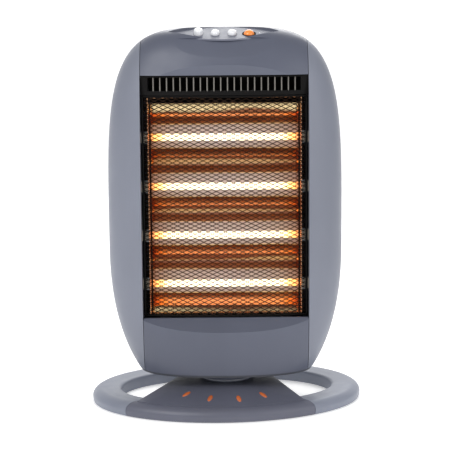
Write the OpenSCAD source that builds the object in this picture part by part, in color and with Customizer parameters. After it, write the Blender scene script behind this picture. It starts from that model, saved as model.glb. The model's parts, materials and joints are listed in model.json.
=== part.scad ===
// Four-tube halogen heater: an oscillating head on an oval ring foot.
// The origin is on the turning axis at floor level, +Z is up and the front faces -Y.

/* [Head] */
// Width of the head at its widest height
head_w = 326; // [290:1:370]
// Height of the head's top above the floor
head_top_z = 524; // [500:1:560]
// Height of the head's underside above the floor
head_base_z = 46; // [44:1:50]
// Height at which the head is widest
widest_z = 224; // [200:1:250]
// Depth of the head in front of the turning axis
front_depth = 76; // [72:1:90]
// Depth of the head behind the turning axis
rear_depth = 62; // [60:1:76]
// Wall of the plastic shells
wall = 2.4; // [2:0.1:3]
// Distance from the middle to the seams of the side panels
seam_x = 114; // [108:1:120]
// Depth of the joint line between the front shells and the rear cover
split_y = 12; // [8:1:16]

/* [Front opening] */
// Height of the opening's lower edge above the floor
open_low_z = 127; // [122:1:130]
// Height of the opening's upper edge above the floor
open_high_z = 460; // [450:1:466]
// Height of the air louvre under the opening's upper edge
louvre_h = 27; // [24:1:32]
// Number of ribs in the louvre
louvre_ribs = 22; // [14:1:26]
// Depth of the guard's middle in front of the turning axis
guard_mid_y = 53; // [50:0.5:56]
// How far the guard's sides stand back from its middle
guard_bow = 9; // [6:0.5:12]
// Height of one diamond of the guard
diamond_h = 17; // [14:1:24]
// Width of one diamond of the guard
diamond_w = 27; // [22:1:36]

/* [Lamps] */
// Number of halogen tubes
lamp_count = 4; // [3:1:4]
// Distance between one tube and the next
lamp_pitch = 68.2; // [60:0.1:68.2]
// Height of the lowest tube above the floor
lamp_low_z = 169.5; // [168:0.5:174]
// Radius of a quartz tube
tube_r = 5; // [4:0.25:6]
// Half the width between the two end plates
lamp_half = 104; // [98:1:106]
// Depth of the reflector's front edges in front of the turning axis
cusp_y = 30; // [28:1:32]
// Depth of each reflector trough
trough_depth = 26; // [20:1:28]

/* [Controls] */
// Number of power buttons
button_count = 3; // [2:1:3]
// Distance between one control and the next
control_pitch = 23; // [21:0.5:26]
// Radius of a power button
button_r = 6.2; // [5:0.1:7.5]
// Travel of a power button
button_travel = 3; // [2:0.5:3.5]
// Radius of the round rocker of the swing switch
rocker_r = 7.6; // [6.5:0.1:8]
// Slope of the console in degrees
console_slope = 20; // [18:1:22]

/* [Foot] */
// Half the width of the ring foot
ring_a = 190; // [175:1:215]
// Half the depth of the ring foot
ring_b = 127; // [115:1:145]
// Width of the ring's band
ring_band = 40; // [34:1:46]
// Height of the ring
ring_h = 18.5; // [16:0.5:22]
// Radius of the neck under the head
neck_r = 62; // [54:1:66]
// Height of the neck above the floor
neck_h = 31; // [30:1:33]
// Turn of the foot under the head at rest, in degrees
foot_turn = 4; // [0:1:8]
// Turn of the front deck within the ring, in degrees
deck_turn = -6; // [-8:1:0]
// Thickness of the rubber pads
pad_h = 3; // [2.5:0.5:4]

/* [Swing drive] */
// Distance from the turning axis to the crank's axis
crank_offset = 28; // [26:0.5:28.5]
// Crank radius as a share of that distance
crank_share = 0.65; // [0.6:0.01:0.7]
// Degrees of crank for each degree of head
crank_ratio = 2.77; // [2.6:0.01:2.9]
// Radius of the crank pin
pin_r = 2; // [1.5:0.1:2.5]
// Clearance of the crank pin on each side of its slot
slot_clear = 1.3; // [1.1:0.1:1.6]
// Radius of the pivot post
post_r = 6; // [5:0.5:7]
// Running clearance of the post in its bush
run_clear = 0.05; // [0.02:0.01:0.1]

/* [Hidden] */

$fn = 64;
SIDE = [-1, 1];
FAR = 400;
SLIP = 0.3;

// Rule of the head's outline: superellipse exponents and the height spans they run over.
UPPER_N = 4.2;
LOWER_N = 2.3;
LOWER_SPAN = 242;
DEPTH_UP_N = 3.2;
DEPTH_LOW_N = 2.5;
DEPTH_LOW_SPAN = 330;
PLAN_FRONT_N = 2.5;
PLAN_REAR_N = 3;
LAYERS_LOW = 12;
LAYERS_HIGH = 18;
AROUND = 64;
LAST_LAYER = 87.5;

// Console and scoop planes, each through a point at the middle of the head.
CONSOLE_Y = -49.5;
CONSOLE_Z = head_top_z - 18.5;
PLATE_T = 2;
SCOOP_Z = CONSOLE_Z - 1;
SCOOP_DROP = 20;
SCOOP_IN = 4.5;
FACET_RISE_HIGH = 13.5;
FACET_RISE_LOW = 16.5;
LENS_HALF = 76;
LENS_SAG = 22;
LENS_Y = -21;

// Lamps
GLASS_T = 1;
LAMP_Y = -(cusp_y - 6);
SHEET = 1;
CAP_LEN = 16;
CAP_H = 14;
CAP_D = 9;
END_FRONT_Y = -43;
END_BACK_Y = 4;
LAMP_Z = [for (i = [0 : lamp_count - 1]) lamp_low_z + i * lamp_pitch];
TROUGH_LOW_Z = lamp_low_z - lamp_pitch / 2;
TROUGH_HIGH_Z = lamp_low_z + (lamp_count - 0.5) * lamp_pitch;
TROUGH_R = (pow(lamp_pitch / 2, 2) + pow(trough_depth, 2)) / (2 * trough_depth);
GUARD_HIGH_Z = open_high_z - louvre_h;
GUARD_HALF = seam_x - 2.4;
GUARD_R = (pow(GUARD_HALF, 2) + pow(guard_bow, 2)) / (2 * guard_bow);

// Floor of the head and swing drive
PAN_T = 3;
PAN_TOP = head_base_z + PAN_T;
DOME_TOP = head_base_z - 1;
BUSH_LOW = DOME_TOP + SLIP;
BUSH_HIGH = PAN_TOP + 7;
BUSH_R = post_r + 4;
STUD_R = post_r - 2;
WASHER_T = 1.5;
ARM_LOW = BUSH_HIGH + SLIP + WASHER_T;
ARM_T = 3;
NUT_T = 5;
NUT_FLATS = 13;
STUD_TOP = ARM_LOW + ARM_T + NUT_T + 0.7;
DISC_LOW = STUD_TOP + 1;
DISC_T = 4;
CRANK_R = crank_offset * crank_share;
BRACKET_LOW = DISC_LOW + DISC_T + 2.5;
BRACKET_HALF = 50;
MOTOR_R = 25;
MOTOR_H = 18;
REST_CRANK = crank_ratio * foot_turn;

// Foot
SCREW_R = 1.6;
INSERT_FAN = [-34, -12, 12, 34];
INSERT_R = 94;
INSERT_LEN = 11;
INSERT_W = 3.2;
RING_PADS = [[-167, 0], [167, 0], [-92, 88], [92, 88]];
DECK_PADS = [for (s = SIDE) rim_point(deck_turn + s * 30.5, 18)];
FOLD_IN = 14;
FOLD_UP = 0.7;
PAD_R = 8;
PLATE_Z = 3;
BASE_PLATE_T = 2;
PLUNGER = [0, 38];
PLUNGER_R = 4;
PLUNGER_TRAVEL = 6;

// Rear cover
BOSS_R = 5;
COVER_SCREWS = [for (s = SIDE, z = [140, 300, 420]) [s * (half_w(z, 0) - wall - BOSS_R - 3), z]];
GLAND = [-66, 100];
GLAND_BORE_R = 3.7;
GLAND_Y = rear_depth * depth_share(GLAND[1], 0) * fade(-GLAND[0] / half_w(GLAND[1], 0), PLAN_REAR_N);

// ---------------------------------------------------------------- shape rules

// Share of the full size left at a share t of the span, by a superellipse of exponent n.
function fade(t, n) = pow(max(0, 1 - pow(t, n)), 1 / n);

// Half width of the head at height z, for a skin that lies inset inside the outer one.
function half_w(z, inset) = z > widest_z
    ? (head_w / 2 - inset) * fade((z - widest_z) / (head_top_z - inset - widest_z), UPPER_N)
    : (head_w / 2 - inset) * fade((widest_z - z) / LOWER_SPAN, LOWER_N);

// Share of the full depth left at height z.
function depth_share(z, inset) = z > widest_z
    ? fade((z - widest_z) / (head_top_z - inset - widest_z), DEPTH_UP_N)
    : fade((widest_z - z) / DEPTH_LOW_SPAN, DEPTH_LOW_N);

// Cosine-like term raised to a power that keeps its sign.
function bend(v, n) = sign(v) * pow(abs(v), 2 / n);

// One closed plan outline of the head at height z.
function head_loop(z, inset) =
    [for (i = [0 : AROUND - 1])
        let (
            a = (i + 0.5) * 360 / AROUND,
            front = sin(a) < 0,
            n = front ? PLAN_FRONT_N : PLAN_REAR_N,
            d = ((front ? front_depth : rear_depth) - inset) * depth_share(z, inset)
        )
        [half_w(z, inset) * bend(cos(a), n), d * bend(sin(a), n), z]
    ];

// Heights of the outlines: even below the widest height, closing up to the top above it.
function head_levels(inset) = concat(
    [for (i = [0 : LAYERS_LOW - 1])
        head_base_z - 6 + (widest_z - head_base_z + 6) * i / LAYERS_LOW],
    [for (i = [0 : LAYERS_HIGH])
        widest_z + (head_top_z - inset - widest_z) * pow(sin(LAST_LAYER * i / LAYERS_HIGH), 2 / UPPER_N)]
);

// Skin over stacked loops of equal length, closed by a flat cap at each end.
module stack_skin(loops) {
    n = len(loops[0]);
    last = len(loops) - 1;
    sides = [for (k = [0 : last - 1], i = [0 : n - 1])
        [k * n + i, (k + 1) * n + i, (k + 1) * n + (i + 1) % n, k * n + (i + 1) % n]];
    floor_cap = [[for (i = [0 : n - 1]) i]];
    top_cap = [[for (i = [n - 1 : -1 : 0]) last * n + i]];
    polyhedron([for (loop = loops) for (p = loop) p], concat(sides, floor_cap, top_cap), 10);
}

// Skin over loops that run round and meet the first one again.
module ring_skin(loops) {
    n = len(loops[0]);
    m = len(loops);
    polyhedron(
        [for (loop = loops) for (p = loop) p],
        [for (k = [0 : m - 1], i = [0 : n - 1])
            [k * n + i, k * n + (i + 1) % n, ((k + 1) % m) * n + (i + 1) % n, ((k + 1) % m) * n + i]],
        10);
}

// Joins smooth forms into one skin without changing their size.
module one_skin() {
    resize([0, 0, 0]) children();
}

// A block between two corners.
module block(low, high) {
    translate(low) cube(high - low);
}

// A bar of radius r along Y, from y0 to y1.
module bar_y(x, z, r, y0, y1) {
    translate([x, y0, z]) rotate([-90, 0, 0]) cylinder(r = r, h = y1 - y0);
}

// A bar of radius r along X, from x0 to x1.
module bar_x(y, z, r, x0, x1) {
    translate([x0, y, z]) rotate([0, 90, 0]) cylinder(r = r, h = x1 - x0);
}

// Everything above the console plane, lowered by drop along the plane's normal.
module above_console(drop) {
    translate([0, CONSOLE_Y, CONSOLE_Z]) rotate([console_slope, 0, 0]) translate([0, 0, -drop])
        block([-FAR, -FAR, 0], [FAR, FAR, FAR]);
}

// Upright prism over the console's pointed oval outline.
module console_lens(grow) {
    r = (pow(LENS_HALF, 2) + pow(LENS_SAG, 2)) / (2 * LENS_SAG);
    translate([0, LENS_Y, 400]) intersection_for(e = SIDE) {
        translate([0, e * (r - LENS_SAG), 0]) cylinder(r = r + grow, h = 300, $fn = 200);
    }
}

// The head as a solid, inset from its outer skin, with the console, scoop and opening facets cut.
module head_form(inset) {
    difference() {
        stack_skin([for (z = head_levels(inset)) head_loop(z, inset)]);
        intersection() {
            above_console(PLATE_T + inset);
            console_lens(inset);
        }
        scoop_cut(inset);
        facet_cut(open_high_z, FACET_RISE_HIGH, front_depth * 0.776, inset, 1);
        facet_cut(open_low_z, FACET_RISE_LOW, front_depth * 0.972, inset, -1);
    }
}

// Plane under the console's front edge that hollows the brow of the head.
module scoop_cut(inset) {
    reach = front_depth * depth_share(SCOOP_Z - SCOOP_DROP, 0);
    top_y = front_depth * depth_share(SCOOP_Z, 0) - SCOOP_IN;
    lean = atan2(reach - top_y, SCOOP_DROP);
    translate([0, -reach, SCOOP_Z - SCOOP_DROP]) rotate([-lean, 0, 0])
        block([-FAR, -FAR, -60], [FAR, inset, 30]);
}

// Slanted facet from past the opening's edge out to the convex front, above (up = 1) or below it.
module facet_cut(edge_z, rise, reach, inset, up) {
    lean = atan2(reach - guard_mid_y - 2, rise);
    past = 8;
    half = seam_x + inset;
    translate([0, -guard_mid_y - 2, edge_z]) rotate([up * lean, 0, 0])
        block([-half, -FAR, up > 0 ? -past : -30], [half, inset, up > 0 ? 30 : past]);
}

// The hollow skin of the whole head.
module head_skin() {
    difference() {
        head_form(0);
        head_form(wall);
    }
}

// Plan outline of a sheet bowed like the guard, from half width w, between two depths.
module bowed_sheet(w, front_y, t) {
    intersection() {
        difference() {
            translate([0, GUARD_R - front_y]) circle(r = GUARD_R, $fn = 256);
            translate([0, GUARD_R - front_y]) circle(r = GUARD_R - t, $fn = 256);
        }
        translate([-w, -front_y - 1]) square([2 * w, guard_bow + 8]);
    }
}

// ---------------------------------------------------------------- foot

// Cross-section of the ring at angle a, inset from its outer skin.
function ring_section(a, inset) =
    let (
        low = inset > 0 ? -2 : 0.8,
        steps = [[0.8, low], [0, ring_h * 0.2], [-0.6, ring_h * 0.5], [2, ring_h * 0.76],
            [6.5, ring_h * 0.92], [11.6, ring_h], [ring_band * 0.6, ring_h * 1.01],
            [ring_band - 3, ring_h * 0.96], [ring_band, ring_h * 0.84], [ring_band, low]]
    )
    [for (s = steps)
        let (
            inward = s[0] > ring_band / 2 ? s[0] - inset : s[0] + inset,
            z = s[1] > ring_h / 2 ? s[1] - inset : s[1]
        )
        [(ring_a - inward) * cos(a), (ring_b - inward) * sin(a), z]
    ];

module ring_form(inset) {
    ring_skin([for (i = [0 : 95]) ring_section(i * 360 / 96, inset)]);
}

// Point on the ring's outline at t degrees from its front, a distance in from the edge.
function rim_point(t, inward) = [(ring_a - inward) * sin(t), -(ring_b - inward) * cos(t)];

// Plan of the front deck's part of the ring: everything between the two seams.
module deck_wedge(grow) {
    rotate(deck_turn) translate([0, 0, -5]) linear_extrude(60)
        polygon([[-104 - grow, -74], [-160 - grow, -118], [-160, -200], [160, -200],
            [160 + grow, -118], [104 + grow, -74]]);
}

// The ramp from the fold along the deck's front lip up to the neck.
module ramp_form(inset) {
    low = inset > 0 ? -2 : 0.8;
    hull() {
        translate([0, 0, low]) linear_extrude(ring_h + FOLD_UP - inset - low) {
            polygon([for (i = [-10 : 10]) rim_point(deck_turn + i * 4.06, FOLD_IN + inset)]);
            rotate(deck_turn) polygon([[-103 + inset, -75], [0, -80], [103 - inset, -75]]);
        }
        translate([0, 0, low]) cylinder(r = neck_r - inset, h = neck_h - inset - low);
    }
}

module deck_solid(inset) {
    intersection() {
        ring_form(inset);
        deck_wedge(-inset);
    }
    ramp_form(inset);
}

module in_foot() {
    rotate(foot_turn) children();
}

// Cuts or stands at each place in a list.
module at_each(places) {
    for (p = places) translate([p[0], p[1], 0]) children();
}

module base_ring() {
    color("#8a8f9b") in_foot() difference() {
        union() {
            one_skin() difference() {
                ring_form(0);
                ring_form(wall);
                deck_wedge(0);
                ramp_form(0);
            }
            at_each(RING_PADS) translate([0, 0, pad_h]) cylinder(r = PAD_R, h = ring_h - wall - pad_h);
        }
        at_each(RING_PADS) cylinder(r = SCREW_R, h = pad_h + 7);
    }
}

module deck_bosses() {
    at_each(DECK_PADS) translate([0, 0, pad_h]) cylinder(r = PAD_R, h = ring_h - wall / 2 - pad_h);
    cylinder_from(16, PLATE_Z + BASE_PLATE_T, neck_h - wall);
}

module insert_shape(low, high) {
    for (a = INSERT_FAN) rotate(deck_turn + a)
        translate([0, -INSERT_R, low]) hull() for (e = SIDE)
            translate([0, e * (INSERT_LEN / 2), 0]) cylinder(r = INSERT_W, h = high - low, $fn = 24);
}

module front_deck() {
    color("#60646f") in_foot() difference() {
        union() {
            one_skin() difference() {
                deck_solid(0);
                deck_solid(wall);
                insert_shape(12, 60);
            }
            deck_bosses();
        }
        at_each(DECK_PADS) cylinder(r = SCREW_R, h = pad_h + 7);
        cylinder(r = post_r, h = neck_h + 1);
    }
}

module deck_inserts() {
    color("#c0683a") in_foot() one_skin() intersection() {
        insert_shape(15, 60);
        ramp_form(0);
    }
}

module base_plate() {
    color("#3c3e44") in_foot() translate([0, 0, PLATE_Z]) linear_extrude(BASE_PLATE_T) difference() {
        union() {
            circle(r = neck_r - wall - 8);
            rotate(deck_turn) polygon([[-50, 0], [-66, -76], [66, -76], [50, 0]]);
        }
        translate(PLUNGER) circle(r = PLUNGER_R + 0.2);
        circle(r = STUD_R);
    }
}

module rubber_pads() {
    color("#1d1d1f") in_foot() difference() {
        at_each(concat(RING_PADS, DECK_PADS)) cylinder(r = PAD_R, h = pad_h);
        at_each(concat(RING_PADS, DECK_PADS)) pad_hole();
    }
}

// Hole of a pad, wide from below for the screw's head.
module pad_hole() {
    translate([0, 0, -1]) cylinder(r = SCREW_R, h = pad_h + 2);
    translate([0, 0, -1]) cylinder(r = SCREW_R * 2, h = pad_h + 0.6);
}

// A pan-head screw pointing up, with its head at the bottom.
module up_screw(length) {
    cylinder(r = SCREW_R * 1.8, h = SCREW_R);
    cylinder(r = SCREW_R - 0.05, h = length);
}

module base_screws() {
    color("#9a9ca0") in_foot()
        at_each(concat(RING_PADS, DECK_PADS)) translate([0, 0, pad_h - 2]) up_screw(8.5);
}

// The button under the foot that the floor holds up, which cuts the power when it drops.
module tip_over_plunger() {
    color("#e8e6df") in_foot() translate(PLUNGER) {
        cylinder(r = PLUNGER_R - 0.1, h = 14);
        translate([0, 0, PLATE_Z + BASE_PLATE_T + PLUNGER_TRAVEL]) cylinder(r = PLUNGER_R + 1.5, h = 3);
    }
}

module tip_over_switch() {
    low = PLATE_Z + BASE_PLATE_T;
    color("#2a2b2e") in_foot() translate([PLUNGER[0], PLUNGER[1], 0]) difference() {
        block([-10, -8, low], [10, 8, 27]);
        translate([0, 0, low - 1]) cylinder(r = PLUNGER_R + 1.8, h = 19);
    }
}

module pivot_dome() {
    rise = DOME_TOP - neck_h;
    color("#6a6e78") in_foot() translate([0, 0, neck_h]) rotate_extrude()
        polygon([[post_r, 0], [40, 0], [39.4, rise * 0.25], [37, rise * 0.5], [32.4, rise * 0.76],
            [24, rise], [post_r, rise]]);
}

module pivot_post() {
    color("#b4b7bb") in_foot() {
        cylinder_from(post_r, PLATE_Z + BASE_PLATE_T, BUSH_HIGH + SLIP);
        cylinder_from(STUD_R, PLATE_Z, PLATE_Z + BASE_PLATE_T);
        cylinder_from(STUD_R, BUSH_HIGH + SLIP, STUD_TOP);
    }
}

module cylinder_from(r, low, high) {
    translate([0, 0, low]) cylinder(r = r, h = high - low);
}

module thrust_washer() {
    color("#c8a24a") in_foot() difference() {
        cylinder_from(9, BUSH_HIGH + SLIP, ARM_LOW);
        cylinder_from(STUD_R, 0, STUD_TOP);
    }
}

// The arm fixed on the post, with the slot that the crank pin runs in.
module swing_arm() {
    slot_r = pin_r + slot_clear;
    near = crank_offset - CRANK_R + 1;
    far = crank_offset + CRANK_R + 0.6;
    color("#a9acb0") in_foot() difference() {
        translate([0, 0, ARM_LOW]) linear_extrude(ARM_T) hull() {
            circle(r = 9);
            translate([0, far]) circle(r = slot_r + 2.4);
        }
        cylinder_from(STUD_R, 0, STUD_TOP);
        translate([0, 0, ARM_LOW - 1]) linear_extrude(ARM_T + 2) {
            translate([0, near]) circle(r = slot_r);
            translate([0, far]) circle(r = slot_r);
            translate([-slot_r, near]) square([2 * slot_r, far - near]);
        }
    }
}

module post_nut() {
    color("#b9bcc0") in_foot() difference() {
        translate([0, 0, ARM_LOW + ARM_T]) cylinder(d = NUT_FLATS / cos(30), h = NUT_T, $fn = 6);
        cylinder_from(STUD_R, 0, STUD_TOP);
    }
}

// ---------------------------------------------------------------- head shells

module floor_pan() {
    color("#44474f") difference() {
        one_skin() intersection() {
            head_form(0);
            block([-FAR, -FAR, head_base_z], [FAR, FAR, PAN_TOP]);
        }
        cylinder_from(BUSH_R, 0, 100);
    }
}

module pivot_bush() {
    color("#e6e4dc") difference() {
        union() {
            cylinder_from(BUSH_R, BUSH_LOW, BUSH_HIGH);
            cylinder_from(BUSH_R + 4, PAN_TOP, PAN_TOP + 2);
        }
        cylinder_from(post_r + run_clear, 0, 100);
    }
}

// Side panel on side s: cheek skin, return along the opening, and the bosses of the cover screws.
module side_panel(s) {
    low = [seam_x, -FAR, PAN_TOP];
    high = [FAR, split_y, FAR * 2];
    difference() {
        union() {
            one_skin() mirror([s < 0 ? 1 : 0, 0, 0]) intersection() {
                union() {
                    head_skin();
                    block([seam_x, -FAR, open_low_z], [seam_x + wall, -guard_mid_y + guard_bow, open_high_z]);
                }
                head_form(0);
                block(low, high);
            }
            for (p = COVER_SCREWS) if (p[0] * s > 0) screw_boss(p, -24, split_y, -8, split_y);
        }
        for (p = COVER_SCREWS) if (p[0] * s > 0) bar_y(p[0], p[1], SCREW_R, -12, split_y + 1);
    }
}

// Half width of the head at height z and depth y, measured to the middle of the skin.
function skin_x(y, z) = half_w(z, 0) * (y < 0
    ? fade(-y / (front_depth * depth_share(z, 0)), PLAN_FRONT_N)
    : fade(y / (rear_depth * depth_share(z, 0)), PLAN_REAR_N)) - wall / 2;

// A screw boss along Y from y0 to y1, with a rib out to the skin beside it from rib0 to rib1.
module screw_boss(p, y0, y1, rib0, rib1) {
    reach = min(skin_x(rib0, p[1]), skin_x(rib1, p[1]));
    bar_y(p[0], p[1], BOSS_R, y0, y1);
    tip = sign(p[0]) * reach;
    block([min(p[0], tip), rib0, p[1] - 1.2], [max(p[0], tip), rib1, p[1] + 1.2]);
}

module left_side_panel() {
    color("#858a96") side_panel(-1);
}

module right_side_panel() {
    color("#858a96") side_panel(1);
}

module top_panel() {
    color("#5d6170") difference() {
        one_skin() intersection() {
            head_skin();
            block([-seam_x, -FAR, open_high_z], [seam_x, split_y, FAR * 2]);
        }
        for (x = control_x()) on_console(x)
            translate([0, 0, -wall - 4]) cylinder(r = control_hole(x), h = 10);
    }
}

module bottom_panel() {
    color("#6b6f7c") one_skin() intersection() {
        head_skin();
        block([-seam_x, -FAR, PAN_TOP], [seam_x, split_y, open_low_z]);
    }
}

module rear_cover() {
    color("#5a5e69") difference() {
        union() {
            one_skin() difference() {
                intersection() {
                    head_skin();
                    block([-FAR, split_y, PAN_TOP], [FAR, FAR, FAR * 2]);
                }
                rear_vents();
            }
            for (p = COVER_SCREWS) screw_boss(p, split_y, split_y + 12, split_y, split_y + 9);
        }
        for (p = COVER_SCREWS) {
            bar_y(p[0], p[1], SCREW_R, 0, 100);
            bar_y(p[0], p[1], SCREW_R * 2.2, split_y + 8, 100);
        }
        bar_y(GLAND[0], GLAND[1], 7, 30, 100);
        bar_y(GLAND[0], GLAND[1], 9.5, GLAND_Y - 1.4, 100);
    }
}

// Rows of upright vent slots across the rear cover, high and low.
module rear_vents() {
    for (x = [-77 : 11 : 77]) {
        block([x - 2, 30, 402], [x + 2, 100, 446]);
        block([x - 2, 30, 120], [x + 2, 100, 156]);
    }
    block([-46, 30, 470], [46, 100, 492]);
}

module rear_cover_screws() {
    color("#8d8f94") for (p = COVER_SCREWS) {
        bar_y(p[0], p[1], SCREW_R - 0.05, -10, split_y + 8);
        bar_y(p[0], p[1], SCREW_R * 1.9, split_y + 8, split_y + 10);
    }
}

// ---------------------------------------------------------------- controls

function control_x() = [for (i = [0 : button_count]) (i - button_count / 2) * control_pitch];
function is_rocker(x) = x > control_x()[button_count] - 1;
function control_hole(x) = is_rocker(x) ? rocker_r + 1.4 : button_r + 0.3;

CONTROL_SET_BACK = 27;

// Puts its children on the console's surface, at x along the row of controls.
module on_console(x) {
    translate([0, CONSOLE_Y, CONSOLE_Z]) rotate([console_slope, 0, 0])
        translate([x, CONTROL_SET_BACK, 0]) children();
}

module console_plate() {
    color("#8f93a0") difference() {
        one_skin() intersection() {
            stack_skin([for (z = head_levels(0)) head_loop(z, 0)]);
            console_lens(0);
            difference() {
                above_console(PLATE_T);
                above_console(0);
            }
        }
        for (x = control_x()) on_console(x) translate([0, 0, -8]) cylinder(r = control_hole(x), h = 16);
    }
}

// A domed push button, lift above its lowest place.
module power_button(index, lift) {
    color("#ecebe6") on_console(control_x()[index]) translate([0, 0, lift]) {
        rotate_extrude() polygon([[0, -11], [button_r, -11], [button_r, 2.4], [button_r * 0.93, 3.6],
            [button_r * 0.72, 4.7], [button_r * 0.4, 5.4], [0, 5.6]]);
    }
}

module power_button_1() {
    power_button(0, button_travel);
}

module power_button_2() {
    power_button(1, 0);
}

module power_button_3() {
    power_button(2, 0);
}

SWITCH_TOP = -wall - PLATE_T - 1;
SWITCH_DEPTH = 26;

module switch_bank() {
    half = button_r + 3;
    color("#2b2c30") difference() {
        on_console(0) block(
            [control_x()[0] - half, -half, SWITCH_TOP - SWITCH_DEPTH],
            [control_x()[button_count - 1] + half, half, SWITCH_TOP]);
        for (i = [0 : button_count - 1]) on_console(control_x()[i])
            translate([0, 0, -11 - button_travel - 3]) cylinder(r = button_r + 0.3, h = 40);
    }
}

module rocker_bezel() {
    color("#3a3c42") on_console(control_x()[button_count]) difference() {
        union() {
            translate([0, 0, SWITCH_TOP]) cylinder(r = rocker_r + 1.4, h = -SWITCH_TOP);
            cylinder(r = rocker_r + 2, h = 0.8);
        }
        translate([0, 0, -20]) cylinder(r = rocker_r + 0.4, h = 40);
        bar_x(0, ROCKER_DROP, AXLE_R + run_clear, -20, 20);
    }
}

ROCKER_DROP = -2;
ROCKER_LEAN = 9;
AXLE_R = 1;

module rocker_switch() {
    color("#d2763a") on_console(control_x()[button_count]) translate([0, 0, ROCKER_DROP]) {
        rotate([-ROCKER_LEAN, 0, 0]) rotate_extrude()
            polygon(concat([[0, rocker_r * sin(-12)]],
                [for (a = [-12 : 6 : 90]) [rocker_r * cos(a), rocker_r * sin(a)]]));
        bar_x(0, 0, AXLE_R, -rocker_r - 1.2, rocker_r + 1.2);
    }
}

module rocker_body() {
    color("#26272a") on_console(control_x()[button_count]) difference() {
        translate([0, 0, SWITCH_TOP - 16]) cylinder(r = rocker_r + 1.4, h = 16);
        translate([0, 0, SWITCH_TOP - 1.2]) cylinder(r = rocker_r + 0.4, h = 3);
    }
}

// ---------------------------------------------------------------- front

module louvre_grille() {
    pitch = 2 * (seam_x - 9) / (louvre_ribs + 1);
    color("#1d1c1b") difference() {
        translate([0, 0, GUARD_HIGH_Z]) linear_extrude(louvre_h) bowed_sheet(seam_x, guard_mid_y + 1, 5);
        for (i = [0 : louvre_ribs]) translate([-seam_x + 9 + i * pitch + 1.3, -100, open_high_z - 21])
            cube([pitch - 2.6, 100, 18]);
    }
}

module guard_mesh() {
    low = open_low_z + 3;
    high = GUARD_HIGH_Z - 3;
    rows = ceil((high - low) / diamond_h);
    cols = ceil(GUARD_HALF / diamond_w) + 1;
    color("#3a2c24") difference() {
        translate([0, 0, low]) linear_extrude(high - low) bowed_sheet(GUARD_HALF - 3, guard_mid_y - 1, 1.2);
        for (j = [0 : 2 * rows], i = [-cols : cols])
            diamond((i + (j % 2) / 2) * diamond_w, low + j * diamond_h / 2, low, high);
    }
}

// One diamond hole, left out where it would break the sheet's edge.
module diamond(x, z, low, high) {
    w = diamond_w / 2 - 2;
    h = diamond_h / 2 - 1.3;
    inside = abs(x) + w < GUARD_HALF - 4 && z - h > low + 1 && z + h < high - 1;
    if (inside) translate([x, 0, z]) rotate([90, 0, 0]) linear_extrude(100)
        polygon([[-w, 0], [0, -h], [w, 0], [0, h]]);
}

module guard_frame() {
    color("#1b1a1a") difference() {
        translate([0, 0, open_low_z]) linear_extrude(GUARD_HIGH_Z - open_low_z)
            bowed_sheet(seam_x, guard_mid_y, 3.6);
        translate([-GUARD_HALF + 3, -100, open_low_z + 3])
            cube([2 * GUARD_HALF - 6, 100, GUARD_HIGH_Z - open_low_z - 6]);
    }
}

module guard_stays() {
    color("#241f1d") for (s = SIDE) translate([s * (lamp_half - 2.5), END_FRONT_Y + 1, open_low_z + 3])
        cylinder(r = 1.2, h = GUARD_HIGH_Z - open_low_z - 6, $fn = 24);
}

// ---------------------------------------------------------------- lamps

// Row of circular troughs, open to the front, as a sheet.
module reflector() {
    middle_y = trough_depth - cusp_y - TROUGH_R;
    color("#d8d2c6") translate([-lamp_half, 0, 0]) rotate([90, 0, 90]) linear_extrude(2 * lamp_half)
        difference() {
            for (z = LAMP_Z) translate([middle_y, z]) circle(r = TROUGH_R + SHEET);
            for (z = LAMP_Z) translate([middle_y, z]) circle(r = TROUGH_R);
            translate([-FAR, 0]) square([FAR - cusp_y, FAR * 2]);
        }
}

module end_plate(s) {
    x0 = s > 0 ? lamp_half : -lamp_half - SHEET;
    difference() {
        block([x0, END_FRONT_Y + 2.4, open_low_z + 4], [x0 + SHEET, END_BACK_Y, GUARD_HIGH_Z - 4]);
        for (z = LAMP_Z) bar_x(LAMP_Y, z, tube_r + 0.4, x0 - 1, x0 + SHEET + 1);
    }
}

module left_end_plate() {
    color("#c9c4bb") end_plate(-1);
}

module right_end_plate() {
    color("#c9c4bb") end_plate(1);
}

module tie_plate(z0) {
    block([-lamp_half - SHEET, END_FRONT_Y + 2.4, z0], [lamp_half + SHEET, END_BACK_Y, z0 + SHEET]);
}

module lower_tie_plate() {
    color("#b5b2ab") tie_plate(open_low_z + 3);
}

module upper_tie_plate() {
    color("#b5b2ab") tie_plate(GUARD_HIGH_Z - 4);
}

module chassis_legs() {
    color("#8e9094") for (s = SIDE) translate([s * 84, 0, 0])
        block([-8, -30, PAN_TOP], [8, -29, open_low_z + 3]);
}

// Sheet behind the reflector, up to the top of the louvre.
module heat_shield() {
    color("#aaa9a6") block([-lamp_half - SHEET, END_BACK_Y, open_low_z + 4],
        [lamp_half + SHEET, END_BACK_Y + SHEET, open_high_z + 3]);
}

module quartz_tube(i) {
    color("#f3e4c8", 0.6) difference() {
        bar_x(LAMP_Y, LAMP_Z[i], tube_r, -lamp_half - SHEET - 1, lamp_half + SHEET + 1);
        bar_x(LAMP_Y, LAMP_Z[i], tube_r - GLASS_T, -FAR, FAR);
    }
}

module quartz_tube_1() {
    quartz_tube(0);
}

module quartz_tube_2() {
    quartz_tube(1);
}

module quartz_tube_3() {
    quartz_tube(2);
}

module quartz_tube_4() {
    quartz_tube(lamp_count - 1);
}

module filament(i) {
    color("#ffb050") bar_x(LAMP_Y, LAMP_Z[i], 1.5, -lamp_half - SHEET - 1, lamp_half + SHEET + 1);
}

module filament_1() {
    filament(0);
}

module filament_2() {
    filament(1);
}

module filament_3() {
    filament(2);
}

module filament_4() {
    filament(lamp_count - 1);
}

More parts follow.
